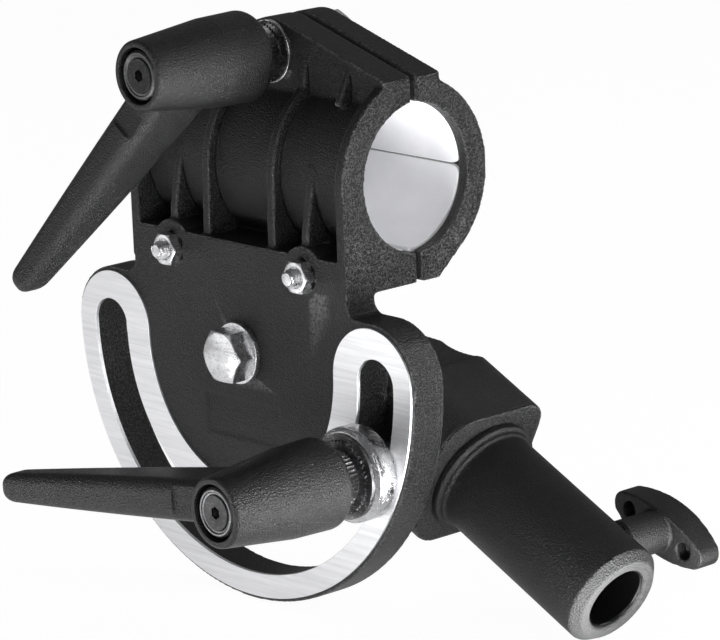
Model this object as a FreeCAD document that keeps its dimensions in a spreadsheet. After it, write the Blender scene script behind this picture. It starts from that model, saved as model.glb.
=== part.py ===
import FreeCAD, Part

import math
import os
import re

import Sketcher

# Tilting pipe clamp with a stand spigot, in millimetres.
# Frame: the origin is the centre of the pipe bore, +X runs along the pipe, -Y is the lever side
# and +Z is up. The tilt axis is parallel to Y, below the bore.

DIMENSIONS = [
    # pipe bore and liners
    ("pipe_diameter", 35.0, "pipe that the closed jaws grip"),
    ("grip_clearance", 0.1, "radial play of that pipe in the closed jaws"),
    ("arc_shift", 1.6, "how far each liner's arc opens past the pipe, for larger pipes"),
    ("grip_angle", 33.0, "half angle of each jaw's arc that is round with the closed bore"),
    ("liner_proud", 0.15, "how far the liners stand out of the castings"),
    ("liner_thick", 1.1, "liner thickness"),
    ("liner_margin", 3.6, "bare casting at each end of the bore"),
    ("liner_seam", 0.4, "gap between the upper and lower liner"),
    ("liner_edge_gap", 0.3, "liner set back from the split"),
    # jaws
    ("jaw_length", 84.0, "length of the jaws along the pipe"),
    ("split_gap", 1.8, "gap between the closed jaws"),
    ("bottom_wall", 7.8, "underside of the jaws below the liner arc"),
    ("shell_wall", 3.6, "wall of the front jaw between its ribs"),
    ("rear_wall", 6.7, "wall of the rear jaw's end walls and ribs"),
    ("rear_shell", 3.7, "wall of the rear jaw between its ribs"),
    ("end_wall_thick", 3.2, "thickness of the end walls"),
    ("rib_thick", 2.8, "thickness of the ribs"),
    ("rib_place", 12.7, "distance of the main ribs from the middle"),
    ("rib_depth", 6.0, "height of the main ribs over the liner arc"),
    ("ledge_rise", 1.2, "top of the plate above the foot of the liner arc"),
    ("front_flange", 10.2, "front flange face in front of the pipe axis"),
    ("rear_flange", 9.2, "rear flange face behind the pipe axis"),
    ("roof_wall", 19.0, "top of the flanges at the middle, over the liner arc"),
    ("roof_fall", 17.0, "slope of the roof shaped flanges, degrees"),
    ("roof_round", 12.0, "radius of the ridge"),
    ("gusset_drop", 7.2, "top of the main ribs below the top of the flange"),
    ("rear_chamfer", 6.7, "width of the rear jaw's flat underside behind the pipe axis"),
    # lower jaw screws
    ("jaw_bolt_place", 25.8, "distance of the jaw screws from the middle"),
    ("jaw_bolt_wall", 3.9, "jaw screws below the liner arc"),
    ("jaw_bolt_diameter", 5.0, "jaw screw thread"),
    ("jaw_bolt_tip", 5.5, "jaw screw in front of the plate"),
    ("jaw_bolt_seat", 8.2, "screw seat behind the pipe axis"),
    ("jaw_hex", 8.0, "jaw screw and nut size across flats"),
    ("jaw_head_height", 3.5, "jaw screw head height"),
    ("jaw_nut_height", 4.7, "jaw nut height"),
    ("jaw_nut_depth", 1.8, "depth of the nut pockets"),
    ("jaw_washer_radius", 5.0, "jaw screw washer radius"),
    ("jaw_washer_thick", 1.0, "jaw screw washer thickness"),
    ("nut_boss_radius", 7.6, "radius of the boss round each nut"),
    ("hex_play", 0.15, "play round a captive nut, per side"),
    ("hole_play", 0.3, "play of a screw in its hole, radial"),
    ("thread_play", 0.12, "play of a thread in its nut, radial"),
    # plate with the arc slot
    ("front_wall", 6.7, "machined ring face in front of the liner arc"),
    ("plate_thick", 10.0, "plate thickness behind the ring"),
    ("ring_raise", 0.6, "height of the machined ring over the cast face"),
    ("slot_radius", 52.1, "radius of the arc slot's middle line"),
    ("slot_play", 0.55, "play of the lower stud in the slot, per side"),
    ("outer_band", 6.35, "machined ring outside the slot"),
    ("inner_band", 9.15, "machined ring inside the slot"),
    ("plate_rim", 1.0, "cast edge outside the machined ring"),
    ("neck_inset", 0.4, "plate's neck inside the end of the jaws"),
    ("neck_fillet", 3.5, "corner between neck and shoulder"),
    ("panel_half", 14.5, "half width of the sunk panel"),
    ("panel_top", 12.4, "panel's upper edge below the tilt axis"),
    ("panel_height", 11.0, "panel height"),
    ("panel_depth", 0.4, "panel depth"),
    # tilt pivot
    ("pivot_diameter", 8.0, "pivot screw thread"),
    ("pivot_tip", 1.5, "pivot screw beyond its lock nut"),
    ("pivot_hex", 13.0, "size across flats of the 8 mm screw and nuts"),
    ("pivot_head_height", 5.3, "pivot screw head height"),
    ("pivot_nut_height", 8.0, "lock nut height"),
    ("pivot_washer_radius", 8.1, "pivot washer radius"),
    ("pivot_washer_thick", 1.6, "pivot washer thickness"),
    # tilting bracket and spigot
    ("tilt_rest", 26.1, "spigot below level at rest, degrees"),
    ("bracket_gap", 0.3, "gap between plate and bracket"),
    ("arm_thick", 12.0, "thickness of the bracket's arm"),
    ("arm_boss", 17.4, "radius of the arm's round end"),
    ("arm_clearance", 2.7, "room between that end and the jaws"),
    ("arm_half", 16.6, "half height of the arm"),
    ("block_inner", 9.8, "bracket's block on the tilt axis side of the lower stud"),
    ("block_outer", 12.2, "bracket's block on the spigot side of the lower stud"),
    ("block_half", 19.3, "half height of the block"),
    ("block_depth", 35.4, "thickness of the block"),
    ("block_round_front", 10.4, "front corner radius of the block"),
    ("block_round_back", 7.0, "rear corner radius of the block"),
    ("web_radius", 9.5, "hollow between the block and the web in front of it"),
    ("web_half", 18.5, "half height of that web"),
    ("web_length", 15.0, "slope of the web down to the arm"),
    ("spigot_depth", 18.6, "spigot axis behind the bracket's front"),
    ("spigot_radius", 14.0, "28 mm stand spigot"),
    ("spigot_length", 53.3, "free length of the spigot"),
    ("spigot_chamfer", 2.3, "chamfer at the free end"),
    ("collar_step", 1.9, "height of the collar against the block"),
    ("collar_width", 2.0, "width of that collar"),
    ("neck_step", 0.7, "height of the step between collar and spigot"),
    ("neck_width", 1.2, "width of that step"),
    ("tenon_radius", 11.0, "tenon of the spigot in the block"),
    ("tenon_length", 4.6, "length of the tenon"),
    ("socket_radius", 8.1, "socket for a 16 mm stud"),
    ("socket_depth", 47.4, "depth of the socket"),
    ("socket_chamfer", 1.1, "chamfer at the socket's mouth"),
    # clamping screw with its wing knob
    ("knob_screw_inset", 17.7, "wing screw from the spigot's free end"),
    ("knob_screw_radius", 4.0, "wing screw thread"),
    ("knob_tip_room", 0.4, "screw tip outside the socket"),
    ("knob_stem_radius", 5.5, "stem of the wing knob"),
    ("knob_stem_room", 3.2, "room between spigot and stem"),
    ("knob_stem_length", 12.8, "length of the stem"),
    ("knob_wing_half", 16.1, "half length of the wing"),
    ("knob_wing_width", 12.0, "width of the wing at the middle"),
    ("knob_wing_round", 3.3, "radius of the wing's ends, seen along the screw"),
    ("knob_wing_crown", 8.9, "height of the wing at the middle"),
    ("knob_wing_tip", 6.6, "height of the wing at its ends"),
    ("knob_wing_sweep", 1.0, "how far the wing's ends bend away from the spigot"),
    ("knob_pocket_place", 10.0, "mould pockets from the middle of the wing"),
    ("knob_pocket_radius", 2.2, "mould pocket radius"),
    ("knob_pocket_depth", 3.2, "mould pocket depth"),
    ("knob_angle", 4.2, "turn of the wing against the spigot, degrees"),
    # ratchet levers
    ("upper_stud_wall", 10.3, "upper stud above the liner arc"),
    ("upper_stud_radius", 4.0, "upper stud"),
    ("lower_stud_radius", 6.0, "lower stud"),
    ("lower_stud_depth", 22.0, "lower stud in the block"),
    ("upper_nut_height", 6.5, "upper stud nut height"),
    ("upper_nut_depth", 2.0, "pocket for the upper stud nut"),
    ("upper_washer_radius", 8.2, "upper lever washer"),
    ("upper_washer_thick", 1.3, "upper lever washer thickness"),
    ("lower_spacer_radius", 12.3, "lower lever spacer"),
    ("lower_spacer_thick", 6.3, "lower lever spacer thickness"),
    ("upper_lever_angle", 35.4, "upper lever off straight down, degrees"),
    ("lower_lever_angle", 86.4, "lower lever off straight down, degrees"),
    ("upper_collar_step", 0.3, "collar of the upper insert outside its teeth"),
    ("lower_collar_step", 2.0, "collar of the lower insert outside its teeth"),
    ("insert_collar_height", 1.8, "height of that collar"),
    ("insert_height", 16.0, "height of the toothed insert"),
    ("tooth_radius", 7.6, "tip radius of the insert's teeth"),
    ("tooth_depth", 0.6, "depth of those teeth"),
    ("tooth_count", 44, "teeth on the insert"),
    ("stud_in_insert", 10.0, "stud end inside the insert"),
    ("hub_start", 6.9, "lever hub from the insert's foot"),
    ("hub_end", 43.2, "outer end of the lever hub"),
    ("hub_base_radius", 11.8, "hub radius near its foot"),
    ("hub_end_radius", 9.0, "hub radius at its outer end"),
    ("hub_shoulder", 21.0, "where the hub starts to taper"),
    ("hub_edge", 2.6, "rounding of the hub's foot"),
    ("hub_bore_play", 0.4, "play of the hub's bore over the teeth"),
    ("grip_tooth_start", 12.4, "foot of the hub's own teeth"),
    ("grip_tooth_length", 3.8, "their length, so that lifting the lever frees them"),
    ("grip_tooth_play", 0.1, "play between those teeth and the insert's"),
    ("hub_web_start", 20.6, "start of the web inside the hub"),
    ("hub_web_end", 24.5, "end of the web inside the hub"),
    ("cap_bore_play", 0.8, "play of the bore round the cap screw's head"),
    ("cap_head_radius", 6.4, "cap screw head radius"),
    ("cap_head_height", 3.0, "cap screw head height"),
    ("cap_head_sink", 0.5, "cap screw head below the hub's end"),
    ("cap_shank_radius", 2.5, "cap screw thread"),
    ("cap_hex", 3.0, "key size of the cap screw"),
    ("spring_play", 1.7, "play of the lift spring in its bore"),
    ("spring_wire", 0.5, "wire radius of the lift spring"),
    ("spring_turns", 7, "turns of the lift spring"),
    ("arm_reach", 67.9, "lever arm from its axis to the last full section"),
    ("arm_root_height", 24.3, "middle of the arm at the hub's axis"),
    ("arm_tip_height", 49.6, "middle of the arm at its tip"),
    ("arm_root_half", 11.6, "half depth of the arm at the hub's axis"),
    ("arm_tip_half", 4.4, "half depth of the arm at its tip"),
    ("arm_root_width", 5.6, "half width of the arm at the hub's axis"),
    ("arm_tip_width", 3.9, "half width of the arm at its tip"),
    ("arm_belly", 0.45, "swell of that half width at the middle"),
    ("arm_end", 3.9, "length of the rounded tip"),
]
ALIASES = {alias for alias, number, note in DIMENSIONS}

document = FreeCAD.newDocument("tilting_pipe_clamp")
sheet = document.addObject("Spreadsheet::Sheet", "dims")
for row, (alias, number, note) in enumerate(DIMENSIONS, start=1):
    sheet.set(f"A{row}", note)
    sheet.set(f"B{row}", str(number))
    sheet.setAlias(f"B{row}", alias)
document.recompute()

# Sizes that follow from the dimensions above. Formulas name them like the dimensions.
DERIVED = {
    "grip_radius": "pipe_diameter / 2 + grip_clearance",
    "jaw_radius": "grip_radius + arc_shift",
    "jaw_bottom": "jaw_radius + bottom_wall",
    "ledge_drop": "jaw_radius - ledge_rise",
    "roof_height": "jaw_radius + roof_wall",
    "gusset_height": "roof_height - gusset_drop",
    "plate_front": "jaw_radius + front_wall",
    "jaw_bolt_drop": "jaw_radius + jaw_bolt_wall",
    "jaw_bolt_length": "jaw_bolt_seat + jaw_washer_thick + plate_front - ring_raise + jaw_bolt_tip",
    "pivot_drop": "jaw_bottom + arm_boss + arm_clearance",
    "pivot_length": "2 * pivot_washer_thick + plate_thick + bracket_gap + arm_thick"
                    " + pivot_nut_height + pivot_tip",
    "slot_outer": "slot_radius + lower_stud_radius + slot_play",
    "slot_inner": "slot_radius - lower_stud_radius - slot_play",
    "ring_outer": "slot_outer + outer_band",
    "ring_inner": "slot_inner - inner_band",
    "neck_half": "jaw_length / 2 - neck_inset",
    "bracket_front": "plate_front - ring_raise - plate_thick - bracket_gap",
    "block_start": "slot_radius - block_inner",
    "block_end": "slot_radius + block_outer",
    "block_back": "block_depth - bracket_front",
    "spigot_setback": "spigot_depth - bracket_front",
    "spigot_end": "block_end + spigot_length",
    "collar_radius": "spigot_radius + collar_step",
    "neck_radius": "spigot_radius + neck_step",
    "knob_screw_place": "spigot_end - knob_screw_inset",
    "knob_tip": "socket_radius + knob_tip_room",
    "knob_stem_start": "spigot_radius + knob_stem_room",
    "knob_wing_start": "knob_stem_start + knob_stem_length",
    "upper_stud_rise": "jaw_radius + upper_stud_wall",
    "upper_collar": "tooth_radius + upper_collar_step",
    "lower_collar": "tooth_radius + lower_collar_step",
    "hub_bore": "tooth_radius + hub_bore_play",
    "cap_bore": "cap_head_radius + cap_bore_play",
    "spring_radius": "cap_bore - spring_play - spring_wire",
}

# Places that several pieces share, as formulas of the dimensions.
CAST_RADIUS = "(jaw_radius + liner_proud)"
RECESS_RADIUS = "(jaw_radius + liner_thick)"
LINER_LENGTH = "(jaw_length - 2 * liner_margin)"
SPLIT = "(split_gap / 2)"
CAST_FRONT = "(plate_front - ring_raise)"
PLATE_BACK = "(plate_front - ring_raise - plate_thick)"
BRACKET_FRONT = "bracket_front"
SLOT_MIDDLE = "slot_radius"
ROOF_END = "(roof_height - (jaw_length / 2) * tan(roof_fall * 1deg))"
UPPER_FOOT = "(front_flange + upper_washer_thick)"
LOWER_FOOT = "(plate_front + lower_spacer_thick)"
CAP_SEAT = "(hub_end - cap_head_sink - cap_head_height)"
FAR = "100"


def bind(formula):
    """Point every dimension named in a formula at the sheet, through the derived sizes."""
    def point(match):
        word = match.group()
        if word in DERIVED:
            return f"({bind(DERIVED[word])})"
        return f"dims.{word}" if word in ALIASES else word
    return re.sub(r"[a-z][a-z_0-9]*", point, str(formula))


def size(formula):
    return float(sheet.evalExpression(bind(formula)))


def new_body(label, placement=None):
    body = document.addObject("PartDesign::Body", label)
    body.Label = label
    if placement:
        body.setExpression("Placement", bind(placement))
    return body


def new_sketch(body, plane, offset="0"):
    """An empty sketch on an origin plane: XZ looks along +Y, so its offset runs towards -Y."""
    sketch = body.newObject("Sketcher::SketchObject", body.Label + "_sketch")
    origin_plane = [f for f in body.Origin.OriginFeatures if f.Role == plane + "_Plane"][0]
    sketch.AttachmentSupport = [(origin_plane, "")]
    sketch.MapMode = "FlatFace"
    sketch.setExpression("AttachmentOffset.Base.z", bind(offset))
    return sketch


def fix_point(sketch, shape, end, x, y):
    for kind, formula in (("DistanceX", x), ("DistanceY", y)):
        number = sketch.addConstraint(Sketcher.Constraint(kind, -1, 1, shape, end, size(formula)))
        sketch.setExpression(f"Constraints[{number}]", bind(formula))


def fix_radius(sketch, shape, radius):
    number = sketch.addConstraint(Sketcher.Constraint("Radius", shape, size(radius)))
    sketch.setExpression(f"Constraints[{number}]", bind(radius))


def add_circle(sketch, x, y, radius):
    centre = FreeCAD.Vector(size(x), size(y), 0)
    shape = sketch.addGeometry(Part.Circle(centre, FreeCAD.Vector(0, 0, 1), size(radius)), False)
    fix_point(sketch, shape, 3, x, y)
    fix_radius(sketch, shape, radius)


def arc_between(start, end, radius, turn):
    """The short arc from start to end; turn is 1 anticlockwise and -1 clockwise."""
    chord = end - start
    rise = math.sqrt(max(radius ** 2 - (chord.Length / 2) ** 2, 0))
    across = FreeCAD.Vector(-chord.y, chord.x, 0).normalize()
    centre = (start + end) / 2 + across * rise * turn
    first, last = (start, end) if turn > 0 else (end, start)
    first_angle = math.atan2(first.y - centre.y, first.x - centre.x)
    last_angle = math.atan2(last.y - centre.y, last.x - centre.x)
    if last_angle <= first_angle:
        last_angle += 2 * math.pi
    circle = Part.Circle(centre, FreeCAD.Vector(0, 0, 1), radius)
    return Part.ArcOfCircle(circle, first_angle, last_angle)


def add_outline(sketch, corners):
    """A closed outline. Each corner is (x, y), or (x, y, radius, turn) when an arc leads to it."""
    points = [FreeCAD.Vector(size(c[0]), size(c[1]), 0) for c in corners]
    ends = []
    for index, corner in enumerate(corners):
        start, end = points[index - 1], points[index]
        if len(corner) == 2:
            shape = sketch.addGeometry(Part.LineSegment(start, end), False)
            ends.append((shape, 1, 2))
        else:
            arc = arc_between(start, end, size(corner[2]), corner[3])
            shape = sketch.addGeometry(arc, False)
            ends.append((shape, 1, 2) if corner[3] > 0 else (shape, 2, 1))
            fix_radius(sketch, shape, corner[2])
    for index, corner in enumerate(corners):
        shape, first, last = ends[index]
        follower, follower_first, _ = ends[(index + 1) % len(corners)]
        sketch.addConstraint(
            Sketcher.Constraint("Coincident", shape, last, follower, follower_first))
        fix_point(sketch, shape, last, corner[0], corner[1])


def grow(body, sketch, length, symmetric=False, reverse=False):
    pad = body.newObject("PartDesign::Pad", body.Label + "_pad")
    pad.Profile = sketch
    pad.setExpression("Length", bind(length))
    pad.SideType = "Symmetric" if symmetric else "One side"
    pad.Reversed = reverse
    document.recompute()
    return pad


def check_cut(body, feature, volume_before):
    document.recompute()
    if not feature.Shape.Volume < volume_before - 1e-3:
        raise ValueError(f"{feature.Label} removes nothing from {body.Label}")


def cut(body, sketch, length, symmetric=False, reverse=False):
    before = body.Tip.Shape.Volume
    pocket = body.newObject("PartDesign::Pocket", body.Label + "_pocket")
    pocket.Profile = sketch
    pocket.setExpression("Length", bind(length))
    pocket.SideType = "Symmetric" if symmetric else "One side"
    pocket.Reversed = reverse
    check_cut(body, pocket, before)
    return pocket


def cut_round(body, plane, x, y, radius, length=FAR, offset="0", symmetric=True, reverse=False):
    sketch = new_sketch(body, plane, offset)
    add_circle(sketch, x, y, radius)
    return cut(body, sketch, length, symmetric, reverse)


def turn(body, sketch, axis="V_Axis"):
    revolution = body.newObject("PartDesign::Revolution", body.Label + "_turned")
    revolution.Profile = sketch
    revolution.ReferenceAxis = (sketch, [axis])
    revolution.Angle = 360
    document.recompute()
    return revolution


def hexagon(flats, x="0", y="0"):
    """Corners of a hexagon with two flats upright."""
    half = f"({flats}) / 2"
    side = f"({flats}) / 2 / sqrt(3)"
    steps = [(1, 1), (0, 2), (-1, 1), (-1, -1), (0, -2), (1, -1)]
    return [(f"{x} + {a} * {half}", f"{y} + {b} * {side}") for a, b in steps]


def rectangle(left, right, low, high):
    return [(left, low), (right, low), (right, high), (left, high)]


def facing_front(x, y, z):
    """Placement whose local Z runs towards the lever side."""
    return f"placement(vector({x}; {y}; {z}); rotationx(90))"


# ---------------------------------------------------------------- castings

def cut_roof(body):
    """Slope the flanges down to both ends, with a rounded ridge."""
    flat = "(roof_round * sin(roof_fall * 1deg))"
    shoulder = "(roof_height - roof_round * (1 - cos(roof_fall * 1deg)))"
    outside = "(jaw_length / 2 + 10)"
    eaves = f"({shoulder} - ({outside} - {flat}) * tan(roof_fall * 1deg))"
    high = "(roof_height + 10)"
    sketch = new_sketch(body, "XZ")
    add_outline(sketch, [
        (f"-{outside}", high),
        (f"-{outside}", eaves),
        (f"-{flat}", shoulder),
        (flat, shoulder, "roof_round", -1),
        (outside, eaves),
        (outside, high),
    ])
    cut(body, sketch, FAR, symmetric=True)


def cut_bore(body, side):
    """Round out one jaw: side is -1 in front and 1 behind. The arc's centre lies past the split."""
    centre = f"({-side} * arc_shift)"
    cut_round(body, "YZ", centre, "0", CAST_RADIUS)
    cut_round(body, "YZ", centre, "0", RECESS_RADIUS, length=LINER_LENGTH)


def add_jaw_wall(body, outline, thickness, place):
    """The same wall or rib at both ends."""
    for side in (-1, 1):
        sketch = new_sketch(body, "YZ", f"{side} * ({place})")
        add_outline(sketch, outline)
        grow(body, sketch, thickness, symmetric=True)


def drill_jaw_bolts(body):
    for side in (-1, 1):
        cut_round(body, "XZ", f"{side} * jaw_bolt_place", "-jaw_bolt_drop",
                  "jaw_bolt_diameter / 2 + hole_play")


def shell_point(radius, centre, y):
    """Height of a circle round the shifted arc centre at a given y."""
    return f"sqrt(({radius}) ^ 2 - (({y}) - {centre}) ^ 2)"


def make_front_jaw(body):
    centre = "arc_shift"
    shell = "(jaw_radius + shell_wall)"
    flange = "(-front_flange)"
    reach = f"({centre} - sqrt({shell} ^ 2 - ledge_drop ^ 2))"
    sketch = new_sketch(body, "YZ")
    add_outline(sketch, [
        (f"-{SPLIT}", "-jaw_bottom"),
        (f"-{SPLIT}", "roof_height"),
        (flange, "roof_height"),
        (flange, shell_point(shell, centre, flange)),
        (reach, "-ledge_drop", shell, 1),
        (f"-{CAST_FRONT}", "-ledge_drop"),
        (f"-{CAST_FRONT}", "-jaw_bottom"),
    ])
    grow(body, sketch, "jaw_length", symmetric=True)
    cut_roof(body)

    end_radius = f"({centre} + {CAST_FRONT})"
    end_wall = [
        (f"-{SPLIT}", "-jaw_bottom"),
        (f"-{SPLIT}", ROOF_END),
        (flange, ROOF_END),
        (flange, shell_point(end_radius, centre, flange)),
        (f"-{CAST_FRONT}", "0", end_radius, 1),
        (f"-{CAST_FRONT}", "-jaw_bottom"),
    ]
    add_jaw_wall(body, end_wall, "end_wall_thick", "jaw_length / 2 - end_wall_thick / 2")

    rib_radius = "(jaw_radius + rib_depth)"
    rib_face = f"({centre} - {rib_radius})"
    rib_top = "(-front_flange - 2)"
    main_rib = [
        (f"-{CAST_FRONT} + 1", "-ledge_drop - 1"),
        (f"-{PLATE_BACK}", "-ledge_drop - 1"),
        ("-front_flange + 2", "0"),
        ("-front_flange + 2", "gusset_height"),
        (flange, "gusset_height"),
        (rib_top, shell_point(rib_radius, centre, rib_top)),
        (rib_face, "0", rib_radius, 1),
    ]
    add_jaw_wall(body, main_rib, "rib_thick", "rib_place")

    bolt_rib = [
        (f"-{CAST_FRONT} + 1", "-ledge_drop - 1"),
        (f"-{PLATE_BACK}", "-ledge_drop - 1"),
        (f"-{PLATE_BACK}", "4"),
        (f"{centre} - {shell}", "4"),
        (f"-{CAST_FRONT} + 1", "-ledge_drop + 5"),
    ]
    add_jaw_wall(body, bolt_rib, "rib_thick", "jaw_bolt_place")

    flange_gusset = [
        ("-front_flange + 2", "gusset_height - 3"),
        (flange, "gusset_height - 3"),
        (f"{flange} - 4.5", "gusset_height - 12"),
        ("-front_flange + 2", "gusset_height - 14"),
    ]
    add_jaw_wall(body, flange_gusset, "0.8 * rib_thick", "jaw_length / 3 + 1")


def make_plate(body):
    """The flat plate under the jaw, round the tilt axis."""
    edge = "(ring_outer + plate_rim)"
    cap = "((ring_outer - ring_inner) / 2 + plate_rim)"
    cap_centre = "((ring_outer + ring_inner) / 2)"
    shoulder = f"(-pivot_drop + {cap})"
    sketch = new_sketch(body, "XZ", CAST_FRONT)
    add_outline(sketch, [
        ("-neck_half", "-ledge_drop - 2"),
        ("-neck_half", f"{shoulder} + neck_fillet"),
        ("-neck_half - neck_fillet", shoulder, "neck_fillet", -1),
        (f"-{cap_centre}", shoulder),
        (f"-{edge}", "-pivot_drop", cap, 1),
        ("0", f"-pivot_drop - {edge}", edge, 1),
        (edge, "-pivot_drop", edge, 1),
        (cap_centre, shoulder, cap, 1),
        ("neck_half + neck_fillet", shoulder),
        ("neck_half", f"{shoulder} + neck_fillet", "neck_fillet", -1),
        ("neck_half", "-ledge_drop - 2"),
    ])
    grow(body, sketch, "plate_thick", reverse=True)


def horseshoe(outer, inner):
    """A half ring round the tilt axis, open upwards, with round ends."""
    cap = f"(({outer}) - ({inner})) / 2"
    middle = f"(({outer}) + ({inner})) / 2"
    axis = "-pivot_drop"
    return [
        (f"-({outer})", axis, cap, 1),
        ("0", f"{axis} - ({outer})", outer, 1),
        (outer, axis, outer, 1),
        (middle, f"{axis} + {cap}", cap, 1),
        (inner, axis, cap, 1),
        ("0", f"{axis} - ({inner})", inner, -1),
        (f"-({inner})", axis, inner, -1),
        (f"-({middle})", f"{axis} + {cap}", cap, 1),
    ]


def add_nut_bosses(body):
    for side in (-1, 1):
        sketch = new_sketch(body, "XZ", CAST_FRONT)
        add_circle(sketch, f"{side} * jaw_bolt_place", "-jaw_bolt_drop", "nut_boss_radius")
        grow(body, sketch, "plate_thick", reverse=True)


def cut_nut_pockets(body):
    for side in (-1, 1):
        sketch = new_sketch(body, "XZ", CAST_FRONT)
        flats = "(jaw_hex + 2 * hex_play)"
        add_outline(sketch, hexagon(flats, f"{side} * jaw_bolt_place", "-jaw_bolt_drop"))
        cut(body, sketch, "jaw_nut_depth")


def cut_panel(body):
    sketch = new_sketch(body, "XZ", CAST_FRONT)
    top = "(-pivot_drop - panel_top)"
    add_outline(sketch, rectangle("-panel_half", "panel_half", f"{top} - panel_height", top))
    cut(body, sketch, "panel_depth")


def make_clamp_body():
    body = new_body("clamp_body")
    make_front_jaw(body)
    make_plate(body)
    add_nut_bosses(body)
    ring = new_sketch(body, "XZ", CAST_FRONT)
    add_outline(ring, horseshoe("ring_outer", "ring_inner"))
    grow(body, ring, "ring_raise")
    slot = new_sketch(body, "XZ")
    add_outline(slot, horseshoe("slot_outer", "slot_inner"))
    cut(body, slot, FAR, symmetric=True)
    cut_bore(body, -1)
    drill_jaw_bolts(body)
    cut_nut_pockets(body)
    cut_panel(body)
    cut_round(body, "XZ", "0", "upper_stud_rise", "upper_stud_radius + hole_play")
    cut_round(body, "XZ", "0", "-pivot_drop", "pivot_diameter / 2 + hole_play")
    return body


def make_rear_jaw():
    body = new_body("rear_jaw")
    centre = "(-arc_shift)"
    shell = "(jaw_radius + rear_shell)"
    wall = "(jaw_radius + rear_wall)"
    flange = "rear_flange"
    # the underside rises from its rear edge along a tangent to the outer round
    run = f"(rear_chamfer - {centre})"
    reach = f"sqrt({run} ^ 2 + jaw_bottom ^ 2)"
    angle = f"(acos({wall} / {reach}) - atan(jaw_bottom / {run}))"
    rise_start = (f"{centre} + {wall} * cos({angle})", f"{wall} * sin({angle})")
    seat = f"sqrt({shell} ^ 2 - ledge_drop ^ 2) + {centre}"
    sketch = new_sketch(body, "YZ")
    add_outline(sketch, [
        (SPLIT, "roof_height"),
        (SPLIT, "-jaw_bottom"),
        ("rear_chamfer", "-jaw_bottom"),
        ("rear_chamfer + 4", "-ledge_drop - 5"),
        (seat, "-ledge_drop"),
        (flange, shell_point(shell, centre, flange), shell, 1),
        (flange, "roof_height"),
    ])
    grow(body, sketch, "jaw_length", symmetric=True)
    cut_roof(body)
    end_wall = [
        (SPLIT, ROOF_END),
        (SPLIT, "-jaw_bottom"),
        ("rear_chamfer", "-jaw_bottom"),
        rise_start,
        (flange, shell_point(wall, centre, flange), wall, 1),
        (flange, ROOF_END),
    ]
    add_jaw_wall(body, end_wall, "end_wall_thick", "jaw_length / 2 - end_wall_thick / 2")
    add_jaw_wall(body, end_wall, "rib_thick", "rib_place")
    for side in (-1, 1):
        sketch = new_sketch(body, "XZ", f"-{SPLIT}")
        add_circle(sketch, f"{side} * jaw_bolt_place", "-jaw_bolt_drop", "nut_boss_radius")
        grow(body, sketch, f"jaw_bolt_seat - {SPLIT}", reverse=True)
    below = new_sketch(body, "YZ")
    add_outline(below, rectangle("0", "block_back", "-jaw_bottom - nut_boss_radius", "-jaw_bottom"))
    cut(body, below, FAR, symmetric=True)
    cut_bore(body, 1)
    drill_jaw_bolts(body)
    for side in (-1, 1):
        cut_round(body, "XZ", f"{side} * jaw_bolt_place", "-jaw_bolt_drop",
                  "jaw_washer_radius + hole_play", offset="-jaw_bolt_seat", length="20",
                  symmetric=False)
    cut_round(body, "XZ", "0", "upper_stud_rise", "upper_stud_radius + hole_play")
    sketch = new_sketch(body, "XZ", "-rear_flange + upper_nut_depth")
    add_outline(sketch, hexagon("(pivot_hex + 2 * hex_play)", y="upper_stud_rise"))
    cut(body, sketch, "upper_nut_depth")
    return body


def make_liner(label, side, level):
    """A strip between casting and pipe: side -1 is in front, level 1 is above the seam."""
    body = new_body(label)
    centre = f"({-side} * arc_shift)"
    edge = f"({side} * ({SPLIT} + liner_edge_gap))"
    seam = f"({level} * liner_seam / 2)"
    inner_split = (edge, f"{level} * {shell_point('jaw_radius', centre, edge)}")
    outer_split = (edge, f"{level} * {shell_point(RECESS_RADIUS, centre, edge)}")
    inner_seam = (f"{side} * sqrt(grip_radius ^ 2 - (liner_seam / 2) ^ 2)", seam)
    outer_seam = (f"{centre} + {side} * sqrt({RECESS_RADIUS} ^ 2 - (liner_seam / 2) ^ 2)", seam)
    # the grip arc runs on into a flatter one, along its tangent, which ends at the split
    across, up = "cos(grip_angle * 1deg)", "sin(grip_angle * 1deg)"
    grip_end = (f"{side} * grip_radius * {across}", f"{level} * grip_radius * {up}")
    depth = f"({SPLIT} + liner_edge_gap)"
    height = shell_point("jaw_radius", "(-arc_shift)", depth)
    beyond = f"({depth} ^ 2 + {height} ^ 2 - grip_radius ^ 2)"
    along = f"({depth} * {across} + {height} * {up})"
    flatter = f"(grip_radius + {beyond} / (2 * grip_radius - 2 * {along}))"
    towards_seam = -side * level
    sketch = new_sketch(body, "YZ")
    add_outline(sketch, [
        inner_split,
        grip_end + (flatter, towards_seam),
        inner_seam + ("grip_radius", towards_seam),
        outer_seam,
        outer_split + (RECESS_RADIUS, -towards_seam),
    ])
    grow(body, sketch, LINER_LENGTH, symmetric=True)
    return body


# ---------------------------------------------------------------- fasteners

def make_hex_screw(label, diameter, length, flats, head_height, placement):
    """A hexagon screw whose shank runs from the local origin along +Z."""
    body = new_body(label, placement)
    head = new_sketch(body, "XY")
    add_outline(head, hexagon(flats))
    grow(body, head, head_height, reverse=True)
    radius = f"({diameter}) / 2"
    shank = new_sketch(body, "XZ")
    add_outline(shank, [
        ("0", "-0.5"),
        (radius, "-0.5"),
        (radius, f"{length} - 0.8"),
        (f"{radius} - 0.8", length),
        ("0", length),
    ])
    turn(body, shank)
    return body


def make_ring(label, outer, inner, height, placement, edge="0.25"):
    """A washer or spacer with its foot at the local origin, and its edges broken."""
    body = new_body(label, placement)
    sketch = new_sketch(body, "XZ")
    add_outline(sketch, [
        (inner, "0"),
        (f"{outer} - {edge}", "0"),
        (outer, edge),
        (outer, f"{height} - {edge}"),
        (f"{outer} - {edge}", height),
        (inner, height),
    ])
    turn(body, sketch)
    return body


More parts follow.
